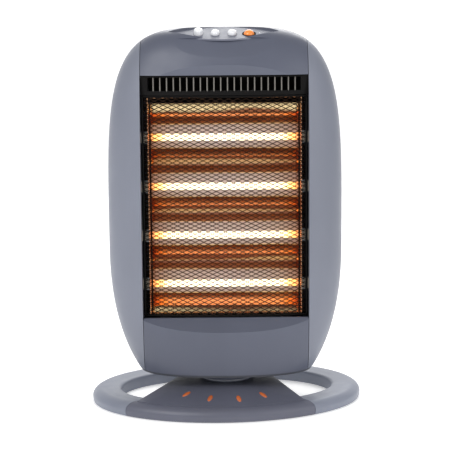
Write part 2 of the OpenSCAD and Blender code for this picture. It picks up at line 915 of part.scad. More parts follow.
// The two ceramic end caps of one lamp.
module lamp_caps(i) {
    color("#e9e3d5") for (s = SIDE) translate([s * (lamp_half + SHEET + 1 + CAP_LEN / 2), LAMP_Y, LAMP_Z[i]])
        cube([CAP_LEN, CAP_D, CAP_H], center = true);
}

module lamp_caps_1() {
    lamp_caps(0);
}

module lamp_caps_2() {
    lamp_caps(1);
}

module lamp_caps_3() {
    lamp_caps(2);
}

module lamp_caps_4() {
    lamp_caps(lamp_count - 1);
}

// Spring clips that hold the caps against the end plates.
module cap_clips() {
    color("#a7a9ac") for (s = SIDE, z = LAMP_Z) mirror([s < 0 ? 1 : 0, 0, 0])
        translate([lamp_half + SHEET, LAMP_Y, z]) difference() {
            block([0, -4, -CAP_H / 2 - 1], [10, 4, CAP_H / 2 + 1]);
            block([1, -5, -CAP_H / 2], [11, 5, CAP_H / 2]);
            bar_x(0, 0, tube_r + 0.4, -1, 2);
        }
}

module terminal_block() {
    color("#dcd8cc") block([-82, -22, PAN_TOP], [-56, -4, PAN_TOP + 16]);
}

module thermal_cutout() {
    color("#2f3033") bar_y(0, TROUGH_HIGH_Z + 8, 8, END_BACK_Y + SHEET, END_BACK_Y + SHEET + 9);
}

// ---------------------------------------------------------------- swing drive

module motor_bracket() {
    color("#9b9da1") difference() {
        union() {
            block([-BRACKET_HALF, 8, BRACKET_LOW], [BRACKET_HALF, 50, BRACKET_LOW + 2]);
            for (s = SIDE) translate([s * (BRACKET_HALF - 1), 0, 0])
                block([-1, 20, PAN_TOP], [1, 46, BRACKET_LOW]);
        }
        translate([0, crank_offset, 0]) cylinder_from(5, 0, 200);
    }
}

module swing_motor() {
    color("#c3c5c8") translate([0, crank_offset, 0]) {
        cylinder_from(MOTOR_R, BRACKET_LOW + 2, BRACKET_LOW + 2 + MOTOR_H);
    }
}

module crank_disc() {
    color("#eae8e0") translate([0, crank_offset, 0]) rotate(REST_CRANK) {
        cylinder_from(CRANK_R + 4, DISC_LOW, DISC_LOW + DISC_T);
        cylinder_from(4, DISC_LOW + DISC_T, BRACKET_LOW + 1.7);
        translate([0, CRANK_R, 0]) cylinder_from(pin_r, ARM_LOW + 0.4, DISC_LOW);
    }
}

module cord_gland() {
    color("#1c1c1e") difference() {
        union() {
            bar_y(GLAND[0], GLAND[1], 7, GLAND_Y - 12, GLAND_Y);
            bar_y(GLAND[0], GLAND[1], 9.5, GLAND_Y - 1.4, GLAND_Y + 3);
        }
        bar_y(GLAND[0], GLAND[1], GLAND_BORE_R, 0, 100);
    }
}

base_ring();
front_deck();
deck_inserts();
base_plate();
rubber_pads();
base_screws();
tip_over_plunger();
tip_over_switch();
pivot_dome();
pivot_post();
thrust_washer();
swing_arm();
post_nut();
floor_pan();
pivot_bush();
left_side_panel();
right_side_panel();
top_panel();
bottom_panel();
rear_cover();
rear_cover_screws();
console_plate();
power_button_1();
power_button_2();
power_button_3();
switch_bank();
rocker_switch();
rocker_bezel();
rocker_body();
louvre_grille();
guard_mesh();
guard_frame();
guard_stays();
reflector();
left_end_plate();
right_end_plate();
lower_tie_plate();
upper_tie_plate();
chassis_legs();
heat_shield();
quartz_tube_1();
quartz_tube_2();
quartz_tube_3();
quartz_tube_4();
filament_1();
filament_2();
filament_3();
filament_4();
lamp_caps_1();
lamp_caps_2();
lamp_caps_3();
lamp_caps_4();
cap_clips();
terminal_block();
thermal_cutout();
swing_motor();
motor_bracket();
crank_disc();
cord_gland();
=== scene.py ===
"""Looks of the four-tube halogen heater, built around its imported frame.

Lengths in the classes are millimetres in the frame's own axes. Surface.build
turns them into metres. Colours are given as display values from 0 to 255.
"""

import json
import logging
import math
from dataclasses import dataclass, field
from enum import Enum
from typing import Optional, Sequence

import bmesh
import bpy
import numpy as np
from mathutils import Euler, Matrix, Vector


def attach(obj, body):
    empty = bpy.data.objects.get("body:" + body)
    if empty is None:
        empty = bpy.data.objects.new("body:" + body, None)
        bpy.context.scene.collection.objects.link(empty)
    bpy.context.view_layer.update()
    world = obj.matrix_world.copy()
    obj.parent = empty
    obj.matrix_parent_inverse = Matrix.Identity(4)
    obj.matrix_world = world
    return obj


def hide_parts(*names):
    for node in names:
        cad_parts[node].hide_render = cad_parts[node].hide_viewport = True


LOG = logging.getLogger("heater")
MM = 0.001
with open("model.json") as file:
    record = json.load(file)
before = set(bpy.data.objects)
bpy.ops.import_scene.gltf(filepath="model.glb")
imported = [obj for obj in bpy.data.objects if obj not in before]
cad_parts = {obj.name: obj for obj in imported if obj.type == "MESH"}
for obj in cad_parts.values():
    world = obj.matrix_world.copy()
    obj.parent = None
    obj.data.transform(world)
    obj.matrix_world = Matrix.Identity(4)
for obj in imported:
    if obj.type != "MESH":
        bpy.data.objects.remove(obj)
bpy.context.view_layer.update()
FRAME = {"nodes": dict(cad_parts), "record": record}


class Body(str, Enum):
    """The bodies of the frame that pieces ride on."""

    FOOT = "foot"
    HEAD = "head"
    BUTTON_1 = "button_1"
    BUTTON_2 = "button_2"
    BUTTON_3 = "button_3"
    ROCKER = "rocker"


def linear(colour: Sequence[float]) -> tuple[float, float, float, float]:
    """Display colour, 0 to 255, to the linear values that a shader takes."""
    c = np.asarray(colour, float) / 255.0
    out = np.where(c <= 0.04045, c / 12.92, ((c + 0.055) / 1.055) ** 2.4)
    return (float(out[0]), float(out[1]), float(out[2]), 1.0)


# ------------------------------------------------------------------ finishes


class Sheet:
    """A material's node tree with a Principled shader, built up step by step."""

    def __init__(self, name: str) -> None:
        """Make the material called name with only its shader and output."""
        self.material = bpy.data.materials.new(name)
        self.material.use_nodes = True
        self.tree = self.material.node_tree
        self.shader = self.tree.nodes["Principled BSDF"]
        self.place = self.node("ShaderNodeTexCoord").outputs["Object"]

    def node(self, kind: str) -> bpy.types.Node:
        """A new node of that kind."""
        return self.tree.nodes.new(kind)

    def link(self, start: bpy.types.NodeSocket, end: bpy.types.NodeSocket) -> None:
        """Joins two sockets."""
        self.tree.links.new(start, end)

    def set(self, **values: object) -> None:
        """Sets shader sockets, with an underscore for each space in their names."""
        for key, value in values.items():
            self.shader.inputs[key.replace("_", " ")].default_value = value

    def noise(
        self, scale: float, detail: float = 3.0, stretch: Sequence[float] = (1, 1, 1)
    ) -> bpy.types.NodeSocket:
        """Value noise on object coordinates.

        Args:
            scale: Cells in a metre.
            detail: Octaves.
            stretch: Factor on each axis.

        Returns:
            The noise's value socket.
        """
        mapping = self.node("ShaderNodeMapping")
        mapping.inputs["Scale"].default_value = tuple(stretch)
        self.link(self.place, mapping.inputs["Vector"])
        noise = self.node("ShaderNodeTexNoise")
        noise.inputs["Scale"].default_value = scale
        noise.inputs["Detail"].default_value = detail
        self.link(mapping.outputs["Vector"], noise.inputs["Vector"])
        return noise.outputs["Fac"]

    def span(
        self, value: bpy.types.NodeSocket, low: float, high: float, to_low: float, to_high: float
    ) -> bpy.types.NodeSocket:
        """Maps value from low..high to to_low..to_high and clamps it.

        Args:
            value: The socket to map.
            low: Start of the range it comes from.
            high: End of the range it comes from.
            to_low: Start of the range it goes to.
            to_high: End of the range it goes to.

        Returns:
            The mapped value's socket.
        """
        node = self.node("ShaderNodeMapRange")
        for index, number in enumerate((low, high, to_low, to_high), start=1):
            node.inputs[index].default_value = number
        self.link(value, node.inputs[0])
        return node.outputs[0]

    def ramp(
        self, value: bpy.types.NodeSocket, stops: Sequence[tuple[float, Sequence[float]]]
    ) -> bpy.types.NodeSocket:
        """Colours by value.

        Args:
            value: The socket that runs from 0 to 1.
            stops: Place and display colour of each stop.

        Returns:
            The colour socket.
        """
        node = self.node("ShaderNodeValToRGB")
        elements = node.color_ramp.elements
        while len(elements) < len(stops):
            elements.new(0.5)
        for element, (place, colour) in zip(elements, stops):
            element.position = place
            element.color = linear(colour)
        self.link(value, node.inputs[0])
        return node.outputs[0]

    def bump(self, height: bpy.types.NodeSocket, strength: float, distance: float) -> None:
        """Adds relief of that strength and depth in metres to the shader."""
        node = self.node("ShaderNodeBump")
        node.inputs["Strength"].default_value = strength
        node.inputs["Distance"].default_value = distance
        self.link(height, node.inputs["Height"])
        earlier = self.shader.inputs["Normal"].links
        if earlier:
            self.link(earlier[0].from_socket, node.inputs["Normal"])
        self.link(node.outputs["Normal"], self.shader.inputs["Normal"])


def shade(colour: Sequence[float], factor: float) -> tuple[float, ...]:
    """The colour made lighter or darker by a factor."""
    return tuple(min(255.0, max(0.0, c * factor)) for c in colour)


@dataclass(frozen=True)
class Plastic:
    """Moulded plastic: an even colour with faint flow marks over a fine spark-eroded grain."""

    name: str
    colour: tuple[float, float, float]
    roughness: float = 0.42
    mottle: float = 0.035
    grain: float = 0.09
    coat: float = 0.0
    gloss: float = 0.5

    def material(self) -> bpy.types.Material:
        """Builds the node material."""
        s = Sheet(self.name)
        flow = s.noise(9.0, 4.0, (1.0, 1.0, 0.5))
        colour = s.ramp(
            s.span(flow, 0.3, 0.7, 0.0, 1.0),
            [(0.0, shade(self.colour, 1 - self.mottle)), (1.0, shade(self.colour, 1 + self.mottle))],
        )
        s.link(colour, s.shader.inputs["Base Color"])
        wear = s.noise(60.0, 5.0)
        s.link(
            s.span(wear, 0.3, 0.7, self.roughness - 0.05, self.roughness + 0.05),
            s.shader.inputs["Roughness"],
        )
        s.set(Coat_Weight=self.coat, Coat_Roughness=0.12, Specular_IOR_Level=self.gloss)
        s.bump(s.noise(2600.0, 2.0), self.grain, 0.0002)
        s.bump(s.noise(38.0, 2.0), 0.05, 0.0006)
        return s.material


@dataclass(frozen=True)
class RolledMetal:
    """Sheet or turned metal with fine rolling lines, a smear of haze and an optional second colour in the
    haze: a heat tint on the guard wire, and a painted reflection of the lamps' glow on the end plates.
    """

    name: str
    colour: tuple[float, float, float]
    roughness: float = 0.28
    lines: tuple[float, float, float] = (0.03, 1.0, 1.0)
    tint: Optional[tuple[float, float, float]] = None

    def material(self) -> bpy.types.Material:
        """Builds the node material."""
        s = Sheet(self.name)
        haze = s.noise(28.0, 5.0)
        other = self.tint or shade(self.colour, 0.86)
        s.link(
            s.ramp(s.span(haze, 0.35, 0.75, 0.0, 1.0), [(0.0, self.colour), (1.0, other)]),
            s.shader.inputs["Base Color"],
        )
        s.link(
            s.span(s.noise(120.0, 4.0, self.lines), 0.3, 0.7, self.roughness * 0.75, self.roughness * 1.25),
            s.shader.inputs["Roughness"],
        )
        s.set(Metallic=1.0)
        s.bump(s.noise(900.0, 2.0, self.lines), 0.06, 0.0002)
        return s.material


@dataclass(frozen=True)
class TroughMirror:
    """Polished reflector, grey-lilac on the flats, with painted reflections: cream highlight lines at the
    bends and cusps, and a copper-brown painted reflection of the lamps on the flanks.
    """

    name: str

    def material(self) -> bpy.types.Material:
        """Builds the node material."""
        s = Sheet(self.name)
        facet = s.node("ShaderNodeAttribute")
        facet.attribute_name = "flank_reflection_share"
        drift = s.span(s.noise(14.0, 4.0, (0.35, 1.0, 1.0)), 0.3, 0.7, -0.1, 0.1)
        add = s.node("ShaderNodeMath")
        s.link(facet.outputs["Fac"], add.inputs[0])
        s.link(drift, add.inputs[1])
        # Painted reflections by the share across the trough: cream painted highlight lines at 0.5 and 0.97,
        # copper-brown painted reflection of the lamps from 0.6 to 0.92.
        colour = s.ramp(
            add.outputs[0],
            [
                (0.0, (186, 172, 176)),
                (0.38, (190, 172, 170)),
                (0.50, (255, 226, 170)),
                (0.60, (186, 124, 88)),
                (0.92, (172, 108, 74)),
                (0.97, (255, 226, 170)),
            ],
        )
        s.link(colour, s.shader.inputs["Base Color"])
        s.link(s.span(add.outputs[0], 0.36, 0.54, 0.62, 0.2), s.shader.inputs["Roughness"])
        s.link(s.span(add.outputs[0], 0.36, 0.54, 0.2, 1.0), s.shader.inputs["Metallic"])
        s.bump(s.noise(160.0, 3.0, (0.1, 1.0, 1.0)), 0.12, 0.0004)
        return s.material


@dataclass(frozen=True)
class GlowingTube:
    """Hot quartz or tungsten: white along the middle, cooling to orange at both ends."""

    name: str
    reach: float
    strength: float
    core: tuple[float, float, float] = (255, 246, 222)
    glass: bool = True

    def material(self) -> bpy.types.Material:
        """Builds the node material."""
        s = Sheet(self.name)
        split = s.node("ShaderNodeSeparateXYZ")
        s.link(s.place, split.inputs[0])
        side = s.node("ShaderNodeMath")
        side.operation = "ABSOLUTE"
        s.link(split.outputs["X"], side.inputs[0])
        heat = s.span(side.outputs[0], 0.0, self.reach * MM, 0.0, 1.0)
        ripple = s.span(s.noise(240.0, 2.0, (1.0, 0.2, 0.2)), 0.3, 0.7, -0.02, 0.02)
        add = s.node("ShaderNodeMath")
        s.link(heat, add.inputs[0])
        s.link(ripple, add.inputs[1])
        colour = s.ramp(
            add.outputs[0],
            [
                (0.0, self.core),
                (0.76, (255, 240, 200)),
                (0.86, (255, 214, 120)),
                (0.94, (244, 150, 62)),
                (1.0, (150, 66, 24)),
            ],
        )
        s.link(colour, s.shader.inputs["Emission Color"])
        s.set(Emission_Strength=self.strength, Base_Color=linear((236, 226, 210)), Roughness=0.08)
        if self.glass:
            s.set(Transmission_Weight=0.75, IOR=1.46)
        s.bump(s.noise(420.0, 2.0, (0.2, 1.0, 1.0)), 0.05, 0.0002)
        return s.material


@dataclass(frozen=True)
class TintedLens:
    """Translucent coloured plastic with a soft inner light and a painted shade on its far half."""

    name: str
    bright: tuple[float, float, float]
    dark: tuple[float, float, float]
    middle_y: float

    def material(self) -> bpy.types.Material:
        """Builds the node material."""
        s = Sheet(self.name)
        split = s.node("ShaderNodeSeparateXYZ")
        s.link(s.place, split.inputs[0])
        blot = s.span(s.noise(500.0, 2.0), 0.3, 0.7, -0.0012, 0.0012)
        add = s.node("ShaderNodeMath")
        s.link(split.outputs["Y"], add.inputs[0])
        s.link(blot, add.inputs[1])
        # Past middle_y the colour turns to the second colour, a painted shade on the far half.
        across = s.span(add.outputs[0], (self.middle_y - 6) * MM, (self.middle_y + 6) * MM, 0.0, 1.0)
        stops = [(0.0, self.bright), (0.45, self.bright), (0.62, self.dark), (1.0, self.dark)]
        colour = s.ramp(across, stops)
        s.link(colour, s.shader.inputs["Base Color"])
        s.link(colour, s.shader.inputs["Emission Color"])
        s.set(Emission_Strength=0.12, Roughness=0.16, Coat_Weight=0.6, Coat_Roughness=0.06)
        s.bump(s.noise(300.0, 2.0), 0.08, 0.0003)
        return s.material


@dataclass(frozen=True)
class Finishes:
    """Every finish of the heater, by the record's slot names."""

    side_grey: Plastic = Plastic("cheek plastic", (121, 125, 138), 0.40)
    panel_blue: Plastic = Plastic("panel plastic", (86, 90, 105), 0.38)
    cover_grey: Plastic = Plastic("cover plastic", (92, 95, 108), 0.48)
    console_grey: Plastic = Plastic("console plastic", (104, 107, 121), 0.42)
    ring_grey: Plastic = Plastic("ring plastic", (127, 132, 146), 0.40)
    deck_grey: Plastic = Plastic("deck plastic", (95, 97, 111), 0.38)
    pan_plastic: Plastic = Plastic("pan plastic", (62, 64, 72), 0.5)
    dome_gloss: Plastic = Plastic("dome plastic", (112, 116, 130), 0.14, coat=0.8)
    black_plastic: Plastic = Plastic("black plastic", (15, 14, 14), 0.55, gloss=0.12)
    rubber: Plastic = Plastic("rubber", (26, 26, 27), 0.85, grain=0.3)
    nylon: Plastic = Plastic("nylon", (232, 230, 220), 0.45)
    lamp_ceramic: Plastic = Plastic("steatite", (222, 214, 198), 0.7, grain=0.2)
    button_white: Plastic = Plastic("button plastic", (244, 245, 248), 0.22, mottle=0.01, coat=0.5)
    orange_trim: Plastic = Plastic("orange inlay", (206, 108, 58), 0.2, mottle=0.08, coat=0.6)
    zinc_steel: RolledMetal = RolledMetal("zinc steel", (170, 172, 176), 0.34)
    turned_steel: RolledMetal = RolledMetal("turned steel", (176, 178, 182), 0.22, (1.0, 1.0, 0.05))
    brass: RolledMetal = RolledMetal("brass", (206, 168, 92), 0.3)
    heat_black: Plastic = Plastic("heat paint", (13, 12, 12), 0.66, gloss=0.1)
    guard_wire: RolledMetal = RolledMetal("guard wire", (58, 46, 40), 0.42, (0.3, 1.0, 1.0), (36, 27, 23))
    # Copper-orange end plates: painted reflection of the glowing lamps on polished metal.
    end_mirror: RolledMetal = RolledMetal("end mirror painted glow", (236, 190, 150), 0.2, (1.0, 0.1, 1.0), (206, 120, 70))
    mirror_aluminium: TroughMirror = TroughMirror("trough mirror painted reflections")
    quartz: GlowingTube = GlowingTube("quartz tube", 104.0, 1.05)
    filament_glow: GlowingTube = GlowingTube("tungsten coil", 100.0, 2.6, glass=False)
    # Light grey on the black ribs' noses: a painted highlight along their front edges.
    louvre_nose: Plastic = Plastic("louvre nose painted highlight", (120, 116, 110), 0.3)
    # Orange rocker lens whose second colour is a painted shade on its far half.
    rocker_orange: TintedLens = TintedLens("rocker lens", (255, 146, 60), (120, 44, 22), -24.0)


class Palette:
    """Builds each finish's material once and hands it out by slot name."""

    def __init__(self, finishes: Finishes) -> None:
        """Keeps the finishes and an empty store of materials."""
        self.finishes = finishes
        self.made: dict[str, bpy.types.Material] = {}

    def get(self, slot: str) -> bpy.types.Material:
        """The material of a slot, made at its first use."""
        if slot not in self.made:
            self.made[slot] = getattr(self.finishes, slot).material()
        return self.made[slot]


# ------------------------------------------------------------------ surfaces


@dataclass
class Surface:
    """Points and faces gathered from grids and loops, in millimetres."""

    points: list[np.ndarray] = field(default_factory=list)
    faces: list[np.ndarray] = field(default_factory=list)
    caps: list[list[int]] = field(default_factory=list)
    count: int = 0

    def add_grid(
        self,
        grid: np.ndarray,
        close_rows: bool = False,
        close_columns: bool = False,
        holes: Optional[np.ndarray] = None,
    ) -> int:
        """Adds a rows by columns grid of points, one quad between each four neighbours.

        Args:
            grid: Array of shape (rows, columns, 3).
            close_rows: Whether the last row joins the first.
            close_columns: Whether the last column joins the first.
            holes: Cells to leave out, True for each one.

        Returns:
            The index of the grid's first point.
        """
        rows, columns = grid.shape[:2]
        index = np.arange(rows * columns).reshape(rows, columns)
        r = rows if close_rows else rows - 1
        c = columns if close_columns else columns - 1
        i, j = np.meshgrid(np.arange(r), np.arange(c), indexing="ij")
        a = index[i, j]
        b = index[i, (j + 1) % columns]
        d = index[(i + 1) % rows, j]
        e = index[(i + 1) % rows, (j + 1) % columns]
        quads = np.stack([a, b, e, d], axis=-1)
        kept = quads.reshape(-1, 4) if holes is None else quads[~holes[:r, :c]]
        start = self.count
        self.points.append(grid.reshape(-1, 3))
        self.faces.append(kept + start)
        self.count += rows * columns
        return start

    def add_tubes(self, paths: np.ndarray, radius: float, sides: int, cap: bool = True) -> None:
        """Adds round tubes along paths, each ring square to the path's direction.

        A ring point is the path point plus radius times (cos a u + sin a v), where
        u and v are square to the smoothed direction of the path.

        Args:
            paths: Array of shape (tubes, steps, 3).
            radius: Radius of the tubes.
            sides: Points round each ring.
            cap: Whether the ends are closed.
        """
        heading = np.gradient(paths, axis=1)
        heading /= np.linalg.norm(heading, axis=2, keepdims=True)
        aside = np.where(np.abs(heading[..., 1:2]) < 0.9, [[[0.0, 1.0, 0.0]]], [[[1.0, 0.0, 0.0]]])
        u = np.cross(heading, aside)
        u /= np.linalg.norm(u, axis=2, keepdims=True)
        v = np.cross(heading, u)
        a = np.arange(sides) * 2 * math.pi / sides
        ring = np.cos(a)[None, None, :, None] * u[:, :, None] + np.sin(a)[None, None, :, None] * v[:, :, None]
        grid = paths[:, :, None] + radius * ring
        for tube in grid:
            start = self.add_grid(tube, close_columns=True)
            if cap:
                last = start + (tube.shape[0] - 1) * sides
                self.caps.append([start + k for k in reversed(range(sides))])
                self.caps.append([last + k for k in range(sides)])

    def build(
        self,
        name: str,
        sharp: float = 35.0,
        weld: float = 0.002,
        outward: Optional[bool] = None,
    ) -> bpy.types.Object:
        """Makes the mesh object at the origin, with doubles merged.

        Args:
            name: Name of the piece.
            sharp: Angle in degrees past which an edge is left sharp.
            weld: Distance in millimetres under which points become one.
            outward: True to turn a closed shape's faces outwards.

        Returns:
            The new object.
        """
        points = np.concatenate(self.points) * MM
        faces = [list(map(int, f)) for part in self.faces for f in part] + self.caps
        mesh = bpy.data.meshes.new(name)
        mesh.from_pydata(points.tolist(), [], faces)
        work = bmesh.new()
        work.from_mesh(mesh)
        bmesh.ops.remove_doubles(work, verts=work.verts, dist=weld * MM)
        bmesh.ops.dissolve_degenerate(work, edges=work.edges, dist=1e-7)
        if outward:
            bmesh.ops.recalc_face_normals(work, faces=work.faces)
        work.to_mesh(mesh)
        work.free()
        return shown(name, mesh, sharp)


def shown(name: str, mesh: bpy.types.Mesh, sharp: float) -> bpy.types.Object:
    """Links a mesh as a smooth-shaded object whose edges past an angle stay sharp.

    Args:
        name: Name of the object.
        mesh: The mesh that it shows.
        sharp: The angle in degrees.

    Returns:
        The object.
    """
    mesh.validate()
    mesh.shade_smooth()
    mesh.set_sharp_from_angle(angle=math.radians(sharp))
    piece = bpy.data.objects.new(name, mesh)
    bpy.context.scene.collection.objects.link(piece)
    return piece


def lathe(profile: Sequence[tuple[float, float]], sides: int = 64) -> np.ndarray:
    """Grid of a profile of (radius, height) turned about +Z, one row for each profile point."""
    p = np.asarray(profile, float)
    a = np.arange(sides) * 2 * math.pi / sides
    return np.stack(
        [p[:, :1] * np.cos(a), p[:, :1] * np.sin(a), np.repeat(p[:, 1:], sides, axis=1)], axis=-1
    )


def rounded(points: Sequence[tuple[float, float]], radius: float, steps: int = 4) -> np.ndarray:
    """A polyline whose inner corners are rounded off by short parabolas.

    Args:
        points: Corners of the polyline.
        radius: How far from each corner the rounding starts.
        steps: Segments of each rounding.

    Returns:
        Array of shape (n, 2).
    """
    p = np.asarray(points, float)
    out = [p[:1]]
    for k in range(1, len(p) - 1):
        before, after = p[k - 1] - p[k], p[k + 1] - p[k]
        reach = min(radius, np.linalg.norm(before) / 2.2, np.linalg.norm(after) / 2.2)
        a = p[k] + before / np.linalg.norm(before) * reach
        b = p[k] + after / np.linalg.norm(after) * reach
        t = np.linspace(0, 1, steps + 1)[:, None]
        out.append((1 - t) ** 2 * a + 2 * t * (1 - t) * p[k] + t**2 * b)
    out.append(p[-1:])
    return np.concatenate(out)


def prism(outline: np.ndarray, low: float, high: float) -> Surface:
    """A closed upright prism over an outline that runs counter-clockwise from above."""
    n = len(outline)
    rows = [np.column_stack([outline, np.full(n, z)]) for z in (low, high)]
    body = Surface()
    body.add_grid(np.stack(rows), close_columns=True)
    body.caps += [list(reversed(range(n))), list(range(n, 2 * n))]
    return body


def block(low: Sequence[float], high: Sequence[float]) -> Surface:
    """A closed block between two corners."""
    (x0, y0, z0), (x1, y1, z1) = low, high
    return prism(np.array([[x0, y0], [x1, y0], [x1, y1], [x0, y1]]), z0, z1)


def moved(surface: Surface, place: Matrix) -> Surface:
    """The surface carried by a 4 by 4 matrix whose shift is in millimetres."""
    m = np.array(place)
    surface.points = [p @ m[:3, :3].T + m[:3, 3] for p in surface.points]
    return surface


class Cut(Enum):
    """How one solid changes another."""

    KEEP = "INTERSECT"
    TAKE = "DIFFERENCE"
    JOIN = "UNION"


def carved(
    name: str, body: Surface, cuts: Sequence[tuple[Cut, Surface]], sharp: float = 28.0
) -> bpy.types.Object:
    """A closed solid kept, cut or joined by other closed solids in turn.

    Args:
        name: Name of the finished piece.
        body: The solid that is cut.
        cuts: What to do with each other solid.
        sharp: Angle in degrees past which an edge is left sharp.

    Returns:
        The finished piece.
    """
    piece = body.build(name + "-raw", outward=True)
    for number, (kind, other) in enumerate(cuts):
        tool = other.build(f"{name}-tool{number}", outward=True)
        modifier = piece.modifiers.new("cut", "BOOLEAN")
        modifier.operation = kind.value
        modifier.solver = "MANIFOLD"
        modifier.object = tool
        mesh = bpy.data.meshes.new_from_object(piece.evaluated_get(bpy.context.evaluated_depsgraph_get()))
        piece.modifiers.clear()
        piece.data = mesh
        bpy.data.objects.remove(tool)
    mesh = piece.data
    bpy.data.objects.remove(piece)
    mesh.name = name
    mesh.materials.clear()
    return shown(name, mesh, sharp)


class Maker:
    """Dresses pieces, sets them on their bodies and reports them."""

    def __init__(self, palette: Palette) -> None:
        """Keeps the palette."""
        self.palette = palette

    def place(
        self, piece: bpy.types.Object, body: Body, slot: str, finish: str = "", nodes: Sequence[str] = ()
    ) -> bpy.types.Object:
        """Gives a piece the finish of its slot, sets it on its body and hides the CAD nodes that it stands
        for.

        Args:
            piece: The finished piece.
            body: The body that it rides on.
            slot: The record's slot that its finish comes from.
            finish: Another finish than the slot's own, where it has one.
            nodes: The CAD nodes that it stands for.

        Returns:
            The piece.
        """
        piece.data.materials.clear()
        piece.data.materials.append(self.palette.get(finish or slot))
        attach(piece, body.value)
        if nodes:
            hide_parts(*nodes)
        LOG.info("%s: %d faces on %s", piece.name, len(piece.data.polygons), body.value)
        return piece


# ------------------------------------------------------------------ the head


def fade(t: np.ndarray, n: float) -> np.ndarray:
    """Share of full size left at a share t of the span: (1 - t^n)^(1/n)."""
    return np.power(np.clip(1 - np.power(np.clip(t, 0, 1), n), 0, 1), 1 / n)


@dataclass(frozen=True)
class HeadRule:
    """The rule of the head's outline, by superellipses over its height and its plan."""

    half: float = 163.0
    top: float = 524.0
    low: float = 46.0
    widest: float = 224.0
    front: float = 76.0
    rear: float = 62.0

    def half_width(self, z: np.ndarray, inset: float) -> np.ndarray:
        """Half width at height z, for a skin that lies inset inside the outer one."""
        up = fade((z - self.widest) / (self.top - inset - self.widest), 4.2)
        down = fade((self.widest - z) / 242.0, 2.3)
        return (self.half - inset) * np.where(z > self.widest, up, down)

    def share(self, z: np.ndarray, inset: float = 0.0) -> np.ndarray:
        """Share of the full depth at height z."""
        up = fade((z - self.widest) / (self.top - inset - self.widest), 3.2)
        down = fade((self.widest - z) / 330.0, 2.5)
        return np.where(z > self.widest, up, down)

    def solid(self, inset: float, around: int = 224, below: int = 34, above: int = 64) -> Surface:
        """The whole head as a closed form: a stack of superelliptic loops.

        A loop point at angle a is (w cos a, d sin a), each sine and cosine raised
        to 2/n with its sign kept, where n is 2.5 in front and 3 at the rear.

        Args:
            inset: How far inside the outer skin it lies.
            around: Points in a loop.
            below: Loops under the widest height.
            above: Loops over it.

        Returns:
            The closed surface.
        """
        a = (np.arange(around) + 0.5) * 2 * math.pi / around
        n = np.where(np.sin(a) < 0, 2.5, 3.0)
        depth = np.where(np.sin(a) < 0, self.front, self.rear) - inset
        low = np.linspace(self.low - 6, self.widest, below, endpoint=False)
        rise = np.sin(np.radians(89.0) * np.linspace(0, 1, above)) ** (2 / 4.2)
        z = np.concatenate([low, self.widest + (self.top - inset - self.widest) * rise])
        plan_x = np.sign(np.cos(a)) * np.abs(np.cos(a)) ** (2 / n)
        plan_y = np.sign(np.sin(a)) * np.abs(np.sin(a)) ** (2 / n)
        grid = np.stack(
            [
                self.half_width(z, inset)[:, None] * plan_x,
                self.share(z, inset)[:, None] * depth * plan_y,
                np.repeat(z[:, None], around, axis=1),
            ],
            axis=-1,
        )
        body = Surface()
        body.add_grid(grid, close_columns=True)
        last = (len(z) - 1) * around
        body.caps += [list(reversed(range(around))), list(range(last, last + around))]
        return body


